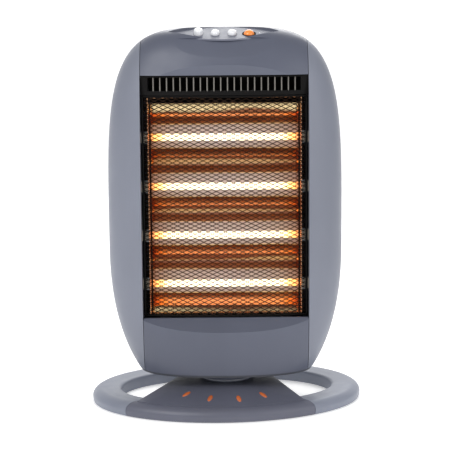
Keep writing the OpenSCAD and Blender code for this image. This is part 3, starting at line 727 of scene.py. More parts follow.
@dataclass
class HeadShell:
    """The cheeks, the top and bottom panels and the rear cover."""

    rule: HeadRule = field(default_factory=HeadRule)
    wall: float = 2.4
    seam: float = 114.0
    gap: float = 0.35
    split: float = 12.0
    floor: float = 49.0
    open_low: float = 127.0
    open_high: float = 460.0
    guard_y: float = 55.0
    console_y: float = -49.5
    console_z: float = 505.5
    slope: float = 20.0
    lens_half: float = 76.0
    lens_sag: float = 22.0
    lens_y: float = -21.0
    rocker_x: float = 34.5
    gland: tuple[float, float] = (-66.0, 100.0)

    def leaned(
        self, y: float, z: float, angle: float, low: Sequence[float], high: Sequence[float]
    ) -> Surface:
        """A block in a frame at (0, y, z) turned about X by angle degrees."""
        turn = Matrix.Rotation(math.radians(angle), 4, "X")
        return moved(block(low, high), Matrix.Translation((0, y, z)) @ turn)

    def lens(self, grow: float, low: float = 400.0, high: float = 640.0) -> Surface:
        """Prism over the console's pointed oval, bounded by two arcs of one radius."""
        r = (self.lens_half**2 + self.lens_sag**2) / (2 * self.lens_sag)
        x = np.linspace(-self.lens_half - grow, self.lens_half + grow, 97)
        arc = np.sqrt(np.clip((r + grow) ** 2 - x**2, 0, None)) - (r - self.lens_sag)
        arc = np.clip(arc, 0, None)
        front = np.column_stack([x, self.lens_y - arc])
        back = np.column_stack([x[::-1], self.lens_y + arc[::-1]])[1:-1]
        return prism(np.concatenate([front, back]), low, high)

    def console_cut(self, drop: float, grow: float) -> Surface:
        """Everything over the console plane, lowered by drop, inside its oval grown by grow."""
        piece = carved(
            "console-cut",
            self.leaned(self.console_y, self.console_z, self.slope, (-300, -300, -drop), (300, 300, 200)),
            [(Cut.KEEP, self.lens(grow))],
        )
        return lifted(piece)

    def scoop_cut(self, inset: float) -> Surface:
        """The plane cut that hollows the brow under the console."""
        reach = self.rule.front * float(self.rule.share(np.array(484.5)))
        top = self.rule.front * float(self.rule.share(np.array(504.5))) - 4.5
        lean = math.degrees(math.atan2(reach - top, 20.0))
        return self.leaned(-reach, 484.5, -lean, (-300, -300, -60), (300, inset, 30))

    def facet_cut(self, edge: float, rise: float, reach: float, inset: float, up: int) -> Surface:
        """The slanted facet above or below the opening."""
        lean = math.degrees(math.atan2(reach - self.guard_y, rise))
        half = self.seam + inset
        low, high = (-8.0, 30.0) if up > 0 else (-30.0, 8.0)
        return self.leaned(-self.guard_y, edge, up * lean, (-half, -300, low), (half, inset, high))

    def form(self, inset: float) -> list[tuple[Cut, Surface]]:
        """The cuts that shape the head's solid, each inset from the outer skin."""
        return [
            (Cut.TAKE, self.scoop_cut(inset)),
            (Cut.TAKE, self.facet_cut(self.open_high, 13.5, self.rule.front * 0.776, inset, 1)),
            (Cut.TAKE, self.facet_cut(self.open_low, 16.5, self.rule.front * 0.972, inset, -1)),
            (Cut.TAKE, self.console_cut(2.0 + inset, inset)),
        ]

    def build(self, maker: Maker) -> None:
        """Makes the five shells and sets them on the head."""
        outer = lifted(carved("head-outer", self.rule.solid(0.0), self.form(0.0)))
        inner = lifted(carved("head-inner", self.rule.solid(self.wall), self.form(self.wall)))
        far = 400.0
        s, g = self.seam, self.gap
        top = carved(
            "top_cap",
            copy_of(outer),
            [
                (Cut.KEEP, block((-s + g, -far, self.open_high), (s - g, self.split - 0.15, 700))),
                (Cut.TAKE, copy_of(inner)),
                *[(Cut.TAKE, self.control_hole(x)) for x in (-34.5, -11.5, 11.5, 34.5)],
            ],
        )
        maker.place(top, Body.HEAD, "panel_blue", nodes=["top_panel"])
        bottom = carved(
            "lower_front",
            copy_of(outer),
            [
                (Cut.KEEP, block((-s + g, -far, self.floor), (s - g, self.split - 0.15, self.open_low))),
                (Cut.TAKE, copy_of(inner)),
            ],
        )
        maker.place(bottom, Body.HEAD, "panel_blue", nodes=["bottom_panel"])
        for side, name in ((-1, "left"), (1, "right")):
            skin = carved(f"{name}-skin", copy_of(outer), [(Cut.TAKE, copy_of(inner))])
            x0, x1 = sorted((side * s, side * (s + self.wall)))
            reveal = block((x0, -far, self.open_low), (x1, -44.0, self.open_high))
            kept = sorted((side * (s + g), side * far))
            cheek = carved(
                f"{name}_cheek",
                lifted(skin),
                [
                    (Cut.JOIN, lifted(carved("reveal", reveal, [(Cut.KEEP, copy_of(outer))]))),
                    (Cut.KEEP, block((kept[0], -far, self.floor), (kept[1], self.split - 0.15, 700))),
                ],
            )
            maker.place(cheek, Body.HEAD, "side_grey", nodes=[f"{name}_side_panel"])
        self.build_cover(maker, outer, inner)

    def control_hole(self, x: float) -> Surface:
        """The round hole of one control through the panel, square to the console."""
        r = 9.0 if x == self.rocker_x else 6.5
        return on_console(self, x, closed_lathe([(r, -40.0), (r, 40.0)]))

    def build_cover(self, maker: Maker, outer: Surface, inner: Surface) -> None:
        """Makes the rear cover with its vents, hand-hold and cord exit.

        Args:
            maker: Dresses and places the piece.
            outer: The head's outer form.
            inner: The same form one wall further in.
        """
        slots: list[tuple[Cut, Surface]] = []
        for x in np.arange(-77, 78, 11):
            for low, high in ((402, 446), (120, 156)):
                slots.append((Cut.TAKE, slot_form(float(x), 2.0, low, high)))
        slots.append((Cut.TAKE, slot_form(0.0, 46.0, 470, 492, 10.0)))
        for place in cover_screws(self.rule):
            slots.append((Cut.TAKE, bore_y(place[0], place[1], 3.6, 22, 100)))
        slots.append((Cut.TAKE, bore_y(self.gland[0], self.gland[1], 7.2, 30, 100)))
        cover = carved(
            "back_shell",
            copy_of(outer),
            [
                (Cut.KEEP, block((-400, self.split + 0.15, self.floor), (400, 400, 700))),
                (Cut.TAKE, copy_of(inner)),
                *slots,
            ],
        )
        maker.place(cover, Body.HEAD, "cover_grey", nodes=["rear_cover"])


def lifted(piece: bpy.types.Object) -> Surface:
    """Takes a piece's mesh out of the scene as a surface in millimetres."""
    mesh = piece.data
    flat = np.empty(len(mesh.vertices) * 3)
    mesh.vertices.foreach_get("co", flat)
    body = Surface()
    body.points = [flat.reshape(-1, 3) / MM]
    body.caps = [list(p.vertices) for p in mesh.polygons]
    body.faces = [np.empty((0, 4), int)]
    body.count = len(mesh.vertices)
    bpy.data.objects.remove(piece)
    return body


def copy_of(surface: Surface) -> Surface:
    """The same surface again."""
    return Surface([p.copy() for p in surface.points], list(surface.faces), list(surface.caps), surface.count)


def cover_screws(rule: HeadRule) -> list[tuple[float, float]]:
    """Places of the cover's six screws, beside the wall at three heights."""
    heights = (140.0, 300.0, 420.0)
    return [(s * float(rule.half_width(np.array(z), 0.0) - 10.4), z) for s in (-1, 1) for z in heights]


def closed_lathe(profile: Sequence[tuple[float, float]], sides: int = 64) -> Surface:
    """A closed turned form: the profile's two ends are capped."""
    body = Surface()
    grid = lathe(profile, sides)
    start = body.add_grid(grid, close_columns=True)
    last = start + (len(profile) - 1) * sides
    body.caps += [[start + k for k in reversed(range(sides))], [last + k for k in range(sides)]]
    return body


def slot_form(x: float, half: float, low: float, high: float, corner: float = 2.0) -> Surface:
    """A slot with round ends, cut along +Y from the inside out."""
    c = min(corner, half, (high - low) / 2)
    a = np.linspace(0, math.pi / 2, 7)
    quarter = np.column_stack([np.cos(a), np.sin(a)]) * c
    hx, hz = half - c, (high - low) / 2 - c
    parts = []
    for sx, sz, flip in ((1, 1, 1), (-1, 1, -1), (-1, -1, 1), (1, -1, -1)):
        parts.append((quarter * (sx, sz) + (sx * hx, sz * hz))[::flip])
    outline = np.concatenate(parts)
    body = prism(outline, -100, -20)
    turn = Matrix.Translation((x, 0, (low + high) / 2)) @ Matrix.Rotation(math.pi / 2, 4, "X")
    return moved(body, turn)


def bore_y(x: float, z: float, radius: float, low: float, high: float) -> Surface:
    """A round bore along Y between two depths."""
    body = closed_lathe([(radius, -high), (radius, -low)], 40)
    return moved(body, Matrix.Translation((x, 0, z)) @ Matrix.Rotation(math.pi / 2, 4, "X"))


def on_console(shell: HeadShell, x: float, surface: Surface, lean: float = 0.0, drop: float = 0.0) -> Surface:
    """Carries a form made about +Z to its place in the row of controls.

    Args:
        shell: Gives the console's plane.
        x: Place along the row.
        surface: The form.
        lean: Turn of the form about its own X axis, in degrees.
        drop: How far its centre lies under the console.

    Returns:
        The form in place.
    """
    place = (
        Matrix.Translation((0, shell.console_y, shell.console_z))
        @ Matrix.Rotation(math.radians(shell.slope), 4, "X")
        @ Matrix.Translation((x, 27.0, -drop))
        @ Matrix.Rotation(math.radians(-lean), 4, "X")
    )
    return moved(surface, place)


@dataclass
class Console:
    """The controls on the sloping console."""

    shell: HeadShell
    button_r: float = 6.15
    button_x: tuple[float, ...] = (-34.5, -11.5, 11.5)
    lift: float = 3.0
    rocker_r: float = 7.6
    rocker_x: float = 34.5
    marks_from_rocker: float = 14.5

    def build(self, maker: Maker) -> None:
        """Makes the buttons, the rocker and its bezel."""
        for index, x in enumerate(self.button_x):
            up = self.lift if index == 0 else 0.0
            cap = on_console(self.shell, x, self.button_form(), drop=-up)
            piece = cap.build(f"button_cap_{index + 1}", outward=True)
            number = index + 1
            maker.place(piece, Body(f"button_{number}"), "button_white", nodes=[f"power_button_{number}"])
        lens = on_console(self.shell, self.rocker_x, self.rocker_form(), lean=9.0, drop=2.0)
        piece = lens.build("rocker_lens", outward=True)
        maker.place(piece, Body.ROCKER, "rocker_orange", nodes=["rocker_switch"])
        ring = on_console(self.shell, self.rocker_x, self.bezel_form())
        piece = ring.build("rocker_ring", outward=True)
        maker.place(piece, Body.HEAD, "black_plastic", nodes=["rocker_bezel"])
        marks = Surface()
        for y in (-2.6, 2.6):
            form = closed_lathe([(0.9, -0.3), (0.9, 0.15), (0.6, 0.3)], 20)
            pip = on_console(self.shell, self.rocker_x + self.marks_from_rocker, form)
            shift = np.array([0, y * math.cos(math.radians(20)), y * math.sin(math.radians(20))])
            base = marks.count
            marks.points += [p + shift for p in pip.points]
            marks.faces += [f + base for f in pip.faces]
            marks.caps += [[k + base for k in cap] for cap in pip.caps]
            marks.count += pip.count
        maker.place(marks.build("rocker_pips", outward=True), Body.HEAD, "button_white")

    def button_form(self) -> Surface:
        """A stem with a shallow dome whose rim is rounded by a superellipse."""
        r = self.button_r
        t = np.linspace(0, math.pi / 2, 16)
        dome = np.column_stack([r * np.cos(t) ** (2 / 2.6), 2.0 + 3.6 * np.sin(t) ** (2 / 2.2)])
        dome[-1, 0] = 0.02
        return closed_lathe([(r, -11.0), *map(tuple, dome)], 56)

    def rocker_form(self) -> Surface:
        """A ball cap that starts a little under its centre."""
        t = np.radians(np.linspace(-12, 89.8, 22))
        return closed_lathe(list(zip(self.rocker_r * np.cos(t), self.rocker_r * np.sin(t))), 56)

    def bezel_form(self) -> Surface:
        """A ring with a rounded rim round the rocker's hole."""
        inner, outer = self.rocker_r + 0.4, self.rocker_r + 2.0
        t = np.linspace(0, math.pi, 10)
        rim = [((inner + outer) / 2 + (outer - inner) / 2 * math.cos(v), 0.8 * math.sin(v)) for v in t]
        profile = [(self.rocker_r + 1.4, -5.4), (self.rocker_r + 1.4, 0.0), *rim, (inner, -5.4)]
        body = Surface()
        body.add_grid(lathe(profile, 56), close_rows=True, close_columns=True)
        return body


# ------------------------------------------------------------------ the front


@dataclass
class Guard:
    """The diamond guard, its rim and the louvre above it, all on one shallow bow."""

    half: float = 111.6
    bow: float = 9.0
    front: float = 53.0
    low: float = 127.0
    high: float = 433.0
    top: float = 460.0
    cell_w: float = 11.7
    cell_h: float = 5.6
    strand: float = 0.62
    ribs: int = 22

    def depth(self, x: np.ndarray, front: float) -> np.ndarray:
        """Depth of the bow at x: a circle through the middle and both sides."""
        r = (self.half**2 + self.bow**2) / (2 * self.bow)
        return -front + r - np.sqrt(r**2 - np.asarray(x, float) ** 2)

    def build(self, maker: Maker) -> None:
        """Makes the wires, the rim and the louvre."""
        maker.place(self.wires(), Body.HEAD, "guard_wire", nodes=["guard_mesh"])
        maker.place(self.rim(), Body.HEAD, "heat_black", nodes=["guard_frame"])
        maker.place(self.louvre(), Body.HEAD, "black_plastic", nodes=["louvre_grille"])
        # The noses take a light grey that paints the highlight on the black ribs' front edges.
        maker.place(self.noses(), Body.HEAD, "black_plastic", finish="louvre_nose")

    def wires(self) -> bpy.types.Object:
        """Expanded metal: each strand zigzags between heights k and k + 1 of half a diamond.

        Strand k runs along x at height low + (k + 1/2 + s/2) h/2, where s flips
        between +1 and -1 at each half cell and starts with the sign of k.
        """
        edge = self.half + 1.0
        columns = int(2 * edge / (self.cell_w / 2))
        x = np.linspace(-edge, edge, columns + 1)
        count = int((self.high - self.low - 3.0) / (self.cell_h / 2))
        k = np.arange(count)[:, None]
        sign = np.where((np.arange(columns + 1)[None, :] + k) % 2 == 0, 1.0, -1.0)
        z = self.low + 1.6 + (k + 0.5 + 0.5 * sign) * self.cell_h / 2
        y = np.repeat(self.depth(x, self.front - 1.0)[None, :], count, axis=0)
        paths = np.stack([np.repeat(x[None, :], count, axis=0), y, z], axis=-1)
        body = Surface()
        a = np.arange(4) * math.pi / 2
        cross = np.stack([np.zeros(4), 0.8 * np.cos(a), np.sin(a)], axis=-1) * self.strand
        grid = paths[:, :, None, :] + cross[None, None]
        for strand in grid:
            start = body.add_grid(strand, close_columns=True)
            last = start + columns * 4
            body.caps += [[start + n for n in (3, 2, 1, 0)], [last + n for n in range(4)]]
        return body.build("guard_wires", sharp=70.0, weld=0.0001, outward=True)

    def rim(self) -> bpy.types.Object:
        """A rounded bar round the wires, bowed with them."""
        x = np.linspace(-self.half, self.half, 41)
        y = self.depth(x, self.front - 1.2)
        low = np.column_stack([x, y, np.full_like(x, self.low + 1.7)])
        high = np.column_stack([x[::-1], y[::-1], np.full_like(x, self.high - 1.7)])
        z = np.linspace(self.low + 1.7, self.high - 1.7, 30)[1:-1]
        right = np.column_stack([np.full_like(z, self.half), np.full_like(z, y[-1]), z])
        left = np.column_stack([np.full_like(z, -self.half), np.full_like(z, y[0]), z[::-1]])
        path = np.concatenate([low, right, high, left])
        heading = np.roll(path, -1, axis=0) - np.roll(path, 1, axis=0)
        heading /= np.linalg.norm(heading, axis=1, keepdims=True)
        out = np.array([0.0, -1.0, 0.0])
        side = np.cross(heading, out)
        side /= np.linalg.norm(side, axis=1, keepdims=True)
        a = np.arange(12) * math.pi / 6
        ring = 1.6 * np.cos(a)[None, :, None] * side[:, None] + 1.8 * np.sin(a)[None, :, None] * out
        body = Surface()
        body.add_grid(path[:, None] + ring, close_rows=True, close_columns=True)
        return body.build("guard_rim", sharp=50.0, outward=True)

    def slot_edges(self) -> np.ndarray:
        """The x of each slot's two edges, slot by slot."""
        span = 2 * 105.0
        pitch = span / (self.ribs + 1)
        left = -105.0 + np.arange(self.ribs + 1) * pitch
        return np.column_stack([left + 1.3, left + pitch - 1.3])

    def louvre(self) -> bpy.types.Object:
        """The slotted band: a bowed grid with a cell left out for each slot, given a wall."""
        slots = self.slot_edges()
        x = np.concatenate([[-113.8], slots.ravel(), [113.8]])
        z = np.array([self.high, self.high + 2, 439.0, 443.5, 448.0, 452.5, 457.0, self.top])
        y = self.depth(x, self.front + 0.6)
        grid = np.stack(
            [
                np.repeat(x[None, :], len(z), axis=0),
                np.repeat(y[None, :], len(z), axis=0),
                np.repeat(z[:, None], len(x), axis=1),
            ],
            axis=-1,
        )
        holes = np.zeros((len(z) - 1, len(x) - 1), bool)
        holes[2:6, 1:-1:2] = True
        body = Surface()
        body.add_grid(grid, holes=holes)
        piece = body.build("louvre_band", sharp=30.0)
        wall = piece.modifiers.new("wall", "SOLIDIFY")
        wall.thickness = 4.0 * MM
        wall.offset = -1.0
        edge = piece.modifiers.new("edge", "BEVEL")
        edge.width = 0.35 * MM
        edge.segments = 2
        edge.limit_method = "ANGLE"
        return piece

    def noses(self) -> bpy.types.Object:
        """Half-round noses on the louvre's ribs, each a short upright bar with round ends."""
        slots = self.slot_edges()
        middle = (slots[1:, 0] + slots[:-1, 1]) / 2
        z = np.array([438.6, 439.0, 440.0, 448.0, 456.0, 457.0, 457.4])
        girth = np.array([0.15, 0.6, 0.85, 0.85, 0.85, 0.6, 0.15])
        a = np.arange(10) * 2 * math.pi / 10
        body = Surface()
        for x in middle:
            ring_x = x + girth[:, None] * np.cos(a)
            ring_y = self.depth(x, self.front + 0.6) + girth[:, None] * 1.1 * np.sin(a)
            grid = np.stack([ring_x, ring_y, np.repeat(z[:, None], 10, axis=1)], axis=-1)
            start = body.add_grid(grid, close_columns=True)
            last = start + 60
            body.caps += [[start + k for k in reversed(range(10))], [last + k for k in range(10)]]
        return body.build("louvre_noses", sharp=60.0, outward=True)


@dataclass
class Lamps:
    """The reflector, the quartz tubes and their coils."""

    heights: tuple[float, ...] = (169.5, 237.7, 305.9, 374.1)
    pitch: float = 68.2
    half: float = 104.0
    cusp: float = -30.0
    back: float = -4.0
    lamp_y: float = -24.0
    tube_r: float = 5.0
    coil_r: float = 1.4
    wire_r: float = 0.33
    coil_pitch: float = 1.9

    def build(self, maker: Maker) -> None:
        """Makes the reflector, then each tube with its coil."""
        maker.place(self.reflector(), Body.HEAD, "mirror_aluminium", nodes=["reflector"])
        for number, z in enumerate(self.heights, start=1):
            maker.place(self.tube(number, z), Body.HEAD, "quartz", nodes=[f"quartz_tube_{number}"])
            maker.place(self.coil(number, z), Body.HEAD, "filament_glow", nodes=[f"filament_{number}"])

    def trough(self, z: float) -> np.ndarray:
        """One folded trough as (depth, height, share across the trough): a flat back, two flanks and steep
        lips; the share places the mirror's painted reflection bands.

        The lowest trough's lower lip and the highest one's upper lip run on past the pitch
        and further forward.
        """
        h = self.pitch / 2
        corners = [
            (self.cusp, -h),
            (self.cusp + 11, -h + 5.5),
            (self.back - 3.0, -16.5),
            (self.back, -13.0),
            (self.back, 13.0),
            (self.back - 3.0, 16.5),
            (self.cusp + 11, h - 5.5),
            (self.cusp, h),
        ]
        if z == self.heights[0]:
            corners[0] = (self.cusp - 5, -h - 7.0)
        if z == self.heights[-1]:
            corners[-1] = (self.cusp - 5, h + 13.0)
        line = rounded(corners, 2.2, 4)
        seen = [corners[0][1], -h + 5.5, h - 5.5, corners[-1][1]]
        reach = np.interp(line[:, 1], seen, [-h, -h + 5.5, h - 5.5, h])
        # Share across the trough for the painted reflections: about 0.5 at the bend for a cream painted
        # highlight, more on the flanks for the copper-brown painted reflection of the lamps.
        steps = [0, 14, 17, 19, 25, h - 2.0, h]
        flank_reflection_share = np.interp(np.abs(reach), steps, [0.1, 0.2, 0.5, 0.62, 0.8, 0.9, 1.0])
        return np.column_stack([line[:, 0], line[:, 1] + z, flank_reflection_share])

    def reflector(self) -> bpy.types.Object:
        """The four troughs' profile carried along X, with the share across each trough kept on its points for
        the mirror's painted reflections.
        """
        profile = np.concatenate([self.trough(z)[(1 if k else 0):] for k, z in enumerate(self.heights)])
        x = np.linspace(-self.half, self.half, 33)
        grid = np.empty((len(profile), len(x), 3))
        grid[..., 0] = x[None, :]
        grid[..., 1] = profile[:, 0:1]
        grid[..., 2] = profile[:, 1:2]
        body = Surface()
        body.add_grid(grid)
        piece = body.build("reflector_sheet", sharp=60.0)
        mesh = piece.data
        heights = np.array([v.co.z for v in mesh.vertices]) / MM
        share = np.interp(heights, profile[:, 1], profile[:, 2])
        mesh.attributes.new("flank_reflection_share", "FLOAT", "POINT").data.foreach_set("value", share)
        wall = piece.modifiers.new("wall", "SOLIDIFY")
        wall.thickness = 0.9 * MM
        wall.offset = -1.0
        return piece

    def turned(self, name: str, profile: Sequence[tuple[float, float]], z: float) -> bpy.types.Object:
        """A closed form turned about the axis of the lamp at height z."""
        body = closed_lathe(profile, 40)
        place = Matrix.Translation((0, self.lamp_y, z)) @ Matrix.Rotation(math.pi / 2, 4, "Y")
        return moved(body, place).build(name, outward=True)

    def tube(self, number: int, z: float) -> bpy.types.Object:
        """A quartz tube that narrows a little into its caps."""
        r, e = self.tube_r, self.half + 1.8
        profile = [(r * 0.8, -e), (r * 0.96, -e + 1.5), (r, -e + 4)]
        profile += [(r, x) for x in np.linspace(-self.half + 6, self.half - 6, 24)]
        profile += [(r, e - 4), (r * 0.96, e - 1.5), (r * 0.8, e)]
        return self.turned(f"lamp_glass_{number}", profile, z)

    def coil(self, number: int, z: float) -> bpy.types.Object:
        """The filament: a helix of radius coil_r about the lamp's axis, with straight tails."""
        turns = 2 * 94.0 / self.coil_pitch
        t = np.linspace(0, 1, int(turns * 10) + 1)
        a = t * turns * 2 * math.pi
        x = -94.0 + 188.0 * t
        path = np.column_stack([x, self.lamp_y + self.coil_r * np.cos(a), z + self.coil_r * np.sin(a)])
        tails = [np.array([[s * 103.0, self.lamp_y, z], [s * 97.0, self.lamp_y, z]]) for s in (-1, 1)]
        path = np.concatenate([tails[0], path, tails[1][::-1]])
        body = Surface()
        body.add_tubes(path[None], self.wire_r, 5)
        return body.build(f"lamp_coil_{number}", sharp=80.0)


# ------------------------------------------------------------------ the foot


@dataclass
class Foot:
    """The ring, the front deck with its inlays, and the dome under the head."""

    a: float = 190.0
    b: float = 127.0
    band: float = 40.0
    height: float = 18.5
    neck_r: float = 62.0
    neck_h: float = 31.0
    fold_in: float = 14.0
    fold_up: float = 0.7
    turn: float = 4.0
    deck_turn: float = -6.0
    seam_in: tuple[float, float] = (104.0, -74.0)
    seam_out: tuple[float, float] = (160.0, -118.0)
    wall: float = 2.4

    def section(self, inset: float) -> np.ndarray:
        """Cross-section of the ring as (distance in from the outer edge, height), closed."""
        h, band = self.height, self.band
        low = 0.8 if inset == 0 else -2.0
        steps = [
            (0.8, low), (0.0, h * 0.2), (-0.6, h * 0.5), (2.0, h * 0.76), (6.5, h * 0.92),
            (11.6, h), (band * 0.6, h * 1.01), (band - 3, h * 0.96), (band, h * 0.84), (band, low),
        ]
        line = rounded(steps, 2.4, 4) if inset == 0 else np.asarray(steps, float)
        inward = np.where(line[:, 0] > band / 2, line[:, 0] - inset, line[:, 0] + inset)
        z = np.where(line[:, 1] > h / 2, line[:, 1] - inset, line[:, 1])
        return np.column_stack([inward, z])

    def ring(self, inset: float) -> Surface:
        """The ring's section swept round, scaled on both half axes alike."""
        line = self.section(inset)
        t = np.arange(240) * 2 * math.pi / 240
        grid = np.stack(
            [
                np.cos(t)[:, None] * (self.a - line[:, 0]),
                np.sin(t)[:, None] * (self.b - line[:, 0]),
                np.repeat(line[None, :, 1], 240, axis=0),
            ],
            axis=-1,
        )
        body = Surface()
        body.add_grid(grid, close_rows=True, close_columns=True)
        return body

    def wedge(self, grow: float) -> Surface:
        """Plan of the deck's share of the ring."""
        (x0, y0), (x1, y1) = self.seam_in, self.seam_out
        half = [[x0 + grow, y0 + grow], [x1 + grow, y1], [x1 + grow, -200]]
        outline = np.array([[-x, y] for x, y in half] + half[::-1])
        return self.spun(prism(outline, -5, 60), self.deck_turn)

    def spun(self, surface: Surface, angle: float) -> Surface:
        """Turns a surface about the vertical axis by angle degrees."""
        return moved(surface, Matrix.Rotation(math.radians(angle), 4, "Z"))

    def ramp(self, inset: float, grow: float = 0.0) -> Surface:
        """The hull of the fold along the deck's front lip and the neck: a ramp up to the head."""
        i = inset
        low = 0.8 if inset == 0 else -2.0
        flat = self.fold(i)
        t = np.arange(120) * 2 * math.pi / 120
        r = self.neck_r - i
        circle = np.column_stack([np.cos(t) * r, np.sin(t) * r])
        soft = np.column_stack([np.cos(t), np.sin(t)]) * (r - 1.6)
        crest, top = self.height + self.fold_up - i, self.neck_h - i
        levels = [(flat, low), (flat, crest), (circle, low), (circle, top - 1.6), (soft, top)]
        points = np.concatenate([np.column_stack([p, np.full(len(p), z)]) for p, z in levels])
        work = bmesh.new()
        for p in points:
            work.verts.new(Vector(p * MM))
        out = bmesh.ops.convex_hull(work, input=work.verts)
        inside = [g for g in out["geom_interior"] if isinstance(g, bmesh.types.BMVert)]
        bmesh.ops.delete(work, geom=inside, context="VERTS")
        bmesh.ops.dissolve_limit(work, angle_limit=math.radians(0.5), verts=work.verts, edges=work.edges)
        mesh = bpy.data.meshes.new("ramp")
        work.to_mesh(mesh)
        work.free()
        piece = bpy.data.objects.new("ramp", mesh)
        bpy.context.scene.collection.objects.link(piece)
        return lifted(piece)

    def fold(self, inset: float) -> np.ndarray:
        """Plan of the ramp's foot: both seam corners and an arc a set distance in from the ring's edge."""
        t = np.radians(self.deck_turn + np.linspace(-40.6, 40.6, 41))
        a, b = self.a - self.fold_in - inset, self.b - self.fold_in - inset
        arc = np.column_stack([a * np.sin(t), -b * np.cos(t)])
        turn = math.radians(self.deck_turn)
        corners = np.array([[103.0 - inset, -75.0], [-103.0 + inset, -75.0]])
        spin = np.array([[math.cos(turn), math.sin(turn)], [-math.sin(turn), math.cos(turn)]])
        return np.concatenate([arc, corners @ spin])

    def build(self, maker: Maker) -> None:
        """Makes the ring, the deck, the inlays and the dome."""
        ring = carved(
            "ring_shell",
            self.ring(0.0),
            [(Cut.TAKE, self.ring(self.wall)), (Cut.TAKE, self.wedge(0.3)), (Cut.TAKE, self.ramp(0.0))],
        )
        maker.place(self.turned(ring), Body.FOOT, "ring_grey", nodes=["base_ring"])
        shape = [(Cut.KEEP, self.wedge(-0.3)), (Cut.JOIN, self.ramp(0.0))]
        solid = carved("deck-solid", self.ring(0.0), shape)
        shape = [(Cut.KEEP, self.wedge(-self.wall)), (Cut.JOIN, self.ramp(self.wall))]
        hollow = carved("deck-hollow", self.ring(self.wall), shape)
        deck = carved("deck_shell", lifted(solid), [(Cut.TAKE, lifted(hollow))])
        maker.place(self.turned(deck), Body.FOOT, "deck_grey", nodes=["front_deck"])
        maker.place(self.turned(self.inlays()), Body.FOOT, "orange_trim", nodes=["deck_inserts"])
        maker.place(self.turned(self.dome()), Body.FOOT, "dome_gloss", nodes=["pivot_dome"])

    def turned(self, piece: bpy.types.Object) -> bpy.types.Object:
        """Turns a finished piece's mesh with the foot."""
        piece.data.transform(Matrix.Rotation(math.radians(self.turn), 4, "Z"))
        return piece

    def ramp_height(self, x: np.ndarray, y: np.ndarray) -> np.ndarray:
        """Height of the ramp's top: the least rise over all directions between front and neck."""
        a = np.linspace(0, 2 * math.pi, 361)
        n = np.column_stack([np.cos(a), np.sin(a)])
        front = np.max(self.fold(0.0) @ n.T, axis=0)
        use = front > self.neck_r + 1
        n, front = n[use], front[use]
        share = (front - (x[..., None] * n[:, 0] + y[..., None] * n[:, 1])) / (front - self.neck_r)
        low = self.height + self.fold_up
        return low + (self.neck_h - low) * np.clip(share.min(axis=-1), 0, 1)

    def inlays(self) -> bpy.types.Object:
        """Four pillowed ovals on the deck, each crowned over the ramp's own height."""
        body = Surface()
        u = np.linspace(0.02, 1, 10)
        t = np.arange(40) * 2 * math.pi / 40
        for angle in (-34.0, -12.0, 12.0, 34.0):
            turn = math.radians(angle + self.deck_turn)
            along, across = 8.4, 3.1
            px = u[:, None] * across * np.cos(t)
            py = -94.0 + u[:, None] * along * np.sin(t)
            x = px * math.cos(turn) - py * math.sin(turn)
            y = px * math.sin(turn) + py * math.cos(turn)
            top = self.ramp_height(x, y) + 1.15 * np.sqrt(np.clip(1 - u[:, None] ** 2.4, 0, 1)) - 0.15
            rim = np.stack([x[-1], y[-1], top[-1] - 3.0], axis=-1)[None]
            grid = np.concatenate([np.stack([x, y, top], axis=-1), rim])
            start = body.add_grid(grid, close_columns=True)
            last = start + 10 * 40
            body.caps += [[start + k for k in reversed(range(40))], [last + k for k in range(40)]]
        return body.build("deck_inlays", sharp=50.0, outward=True)

    def dome(self) -> bpy.types.Object:
        """The turned dome that the head stands over."""
        h = self.neck_h
        side = [(39.6, h), (39.6, 34.0), (37, 38.0), (32.4, 41.6), (24, 45.0)]
        profile = rounded([(6.2, h), *side, (6.2, 45.0)], 3.0, 5)
        body = Surface()
        body.add_grid(lathe([tuple(p) for p in profile], 96), close_rows=True, close_columns=True)
        return body.build("neck_dome", sharp=50.0, outward=True)


# ------------------------------------------------------------------ carried parts and studio


@dataclass(frozen=True)
class Carried:
    """Finishes of the CAD parts that are shown as they are, by the record's own slots, except that the end
    and tie plates take a copper-orange finish that is a painted reflection of the lamps' glow, and the heat
    shield takes heat paint.
    """

    other: dict[str, str] = field(
        default_factory=lambda: {
            # End and tie plates: painted reflection of the lamps' warm glow.
            "left_end_plate": "end_mirror",
            "right_end_plate": "end_mirror",
            "lower_tie_plate": "end_mirror",
            "upper_tie_plate": "end_mirror",
            "heat_shield": "heat_black",
        }
    )

    def dress(self, palette: Palette) -> None:
        """Gives each CAD node the material of its slot."""
        slots = {
            entry["node"]: entry["material_slot"] for entry in FRAME["record"].get("subparts", [])
        }
        for name, node in FRAME["nodes"].items():
            slot = self.other.get(name) or slots.get(name) or "black_plastic"
            node.data.materials.clear()
            node.data.materials.append(palette.get(slot))


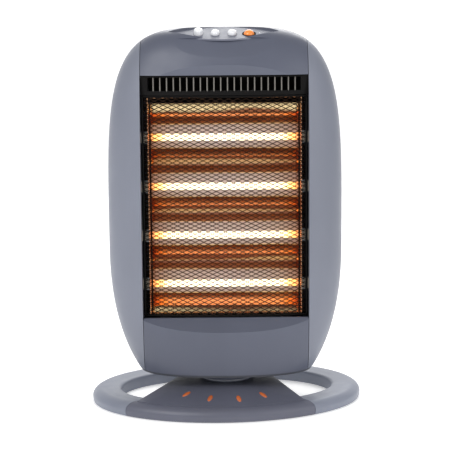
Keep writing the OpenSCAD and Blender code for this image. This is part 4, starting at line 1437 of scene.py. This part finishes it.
@dataclass
class Studio:
    """A pale floor, soft light and the camera."""

    eye: tuple[float, float, float] = (0.0, -1.80, 0.54)
    pitch: float = 7.62
    roll: float = -0.5
    lens: float = 103.7
    shift: float = -0.081

    def build(self) -> None:
        """Makes the floor, the lights and the camera."""
        self.floor()
        self.world()
        self.light("key", (-1.1, -1.5, 1.6), 1.3, 20.0)
        self.light("fill", (1.4, -1.3, 0.9), 1.2, 7.0)
        self.light("rim", (0.2, 1.3, 1.5), 1.2, 14.0)
        self.camera()

    def floor(self) -> None:
        """A wide pale sheet, faintly mottled, that rises behind as a sweep.

        Its section is flat, then a quarter circle of radius 1.2 m, then upright.
        """
        x = np.linspace(-6000, 6000, 25)
        a = np.linspace(0, math.pi / 2, 17)
        line = np.concatenate(
            [
                np.column_stack([np.linspace(-6000, 2400, 20), np.zeros(20)]),
                np.column_stack([2400 + 1200 * np.sin(a[1:]), 1200 - 1200 * np.cos(a[1:])]),
                [[3600, 5000]],
            ]
        )
        grid = np.empty((len(line), len(x), 3))
        grid[..., 0] = x[None, :]
        grid[..., 1] = line[:, 0:1]
        grid[..., 2] = line[:, 1:2] - 0.3
        body = Surface()
        body.add_grid(grid)
        sheet = body.build("studio_floor")
        s = Sheet("studio paper")
        tone = s.ramp(s.noise(3.0), [(0.0, (250, 250, 250)), (1.0, (254, 254, 254))])
        s.link(tone, s.shader.inputs["Base Color"])
        s.set(Roughness=0.9, Emission_Color=(1, 1, 1, 1), Emission_Strength=0.35)
        sheet.data.materials.append(s.material)

    def world(self) -> None:
        """Even white surroundings."""
        world = bpy.data.worlds.new("studio")
        world.use_nodes = True
        back = world.node_tree.nodes["Background"]
        back.inputs["Color"].default_value = (1.0, 1.0, 1.0, 1.0)
        back.inputs["Strength"].default_value = 0.55
        bpy.context.scene.world = world

    def light(self, name: str, place: Sequence[float], size: float, power: float) -> None:
        """A square soft light that faces the heater."""
        data = bpy.data.lights.new(name, "AREA")
        data.size = size
        data.energy = power
        lamp = bpy.data.objects.new(name, data)
        lamp.location = place
        lamp.rotation_euler = (Vector((0, 0, 0.28)) - Vector(place)).to_track_quat("-Z", "Y").to_euler()
        bpy.context.scene.collection.objects.link(lamp)

    def camera(self) -> None:
        """The camera in front, a little above the head's middle."""
        data = bpy.data.cameras.new("view")
        data.lens = self.lens
        data.sensor_width = 36.0
        data.shift_y = self.shift
        data.clip_start, data.clip_end = 0.05, 50.0
        eye = bpy.data.objects.new("view", data)
        tilt = Euler((math.radians(90 - self.pitch), 0, 0)).to_matrix().to_4x4()
        roll = Matrix.Rotation(math.radians(self.roll), 4, "Z")
        eye.matrix_world = Matrix.Translation(self.eye) @ tilt @ roll
        bpy.context.scene.collection.objects.link(eye)
        bpy.context.scene.camera = eye
        bpy.context.scene.view_settings.view_transform = "Standard"


def main() -> None:
    """Builds the heater piece by piece."""
    logging.basicConfig(level=logging.INFO, format="%(message)s")
    palette = Palette(Finishes())
    maker = Maker(palette)
    Studio().build()
    Carried().dress(palette)
    shell = HeadShell()
    shell.build(maker)
    Console(shell).build(maker)
    Guard().build(maker)
    Lamps().build(maker)
    Foot().build(maker)


if __name__ == "__main__":
    main()
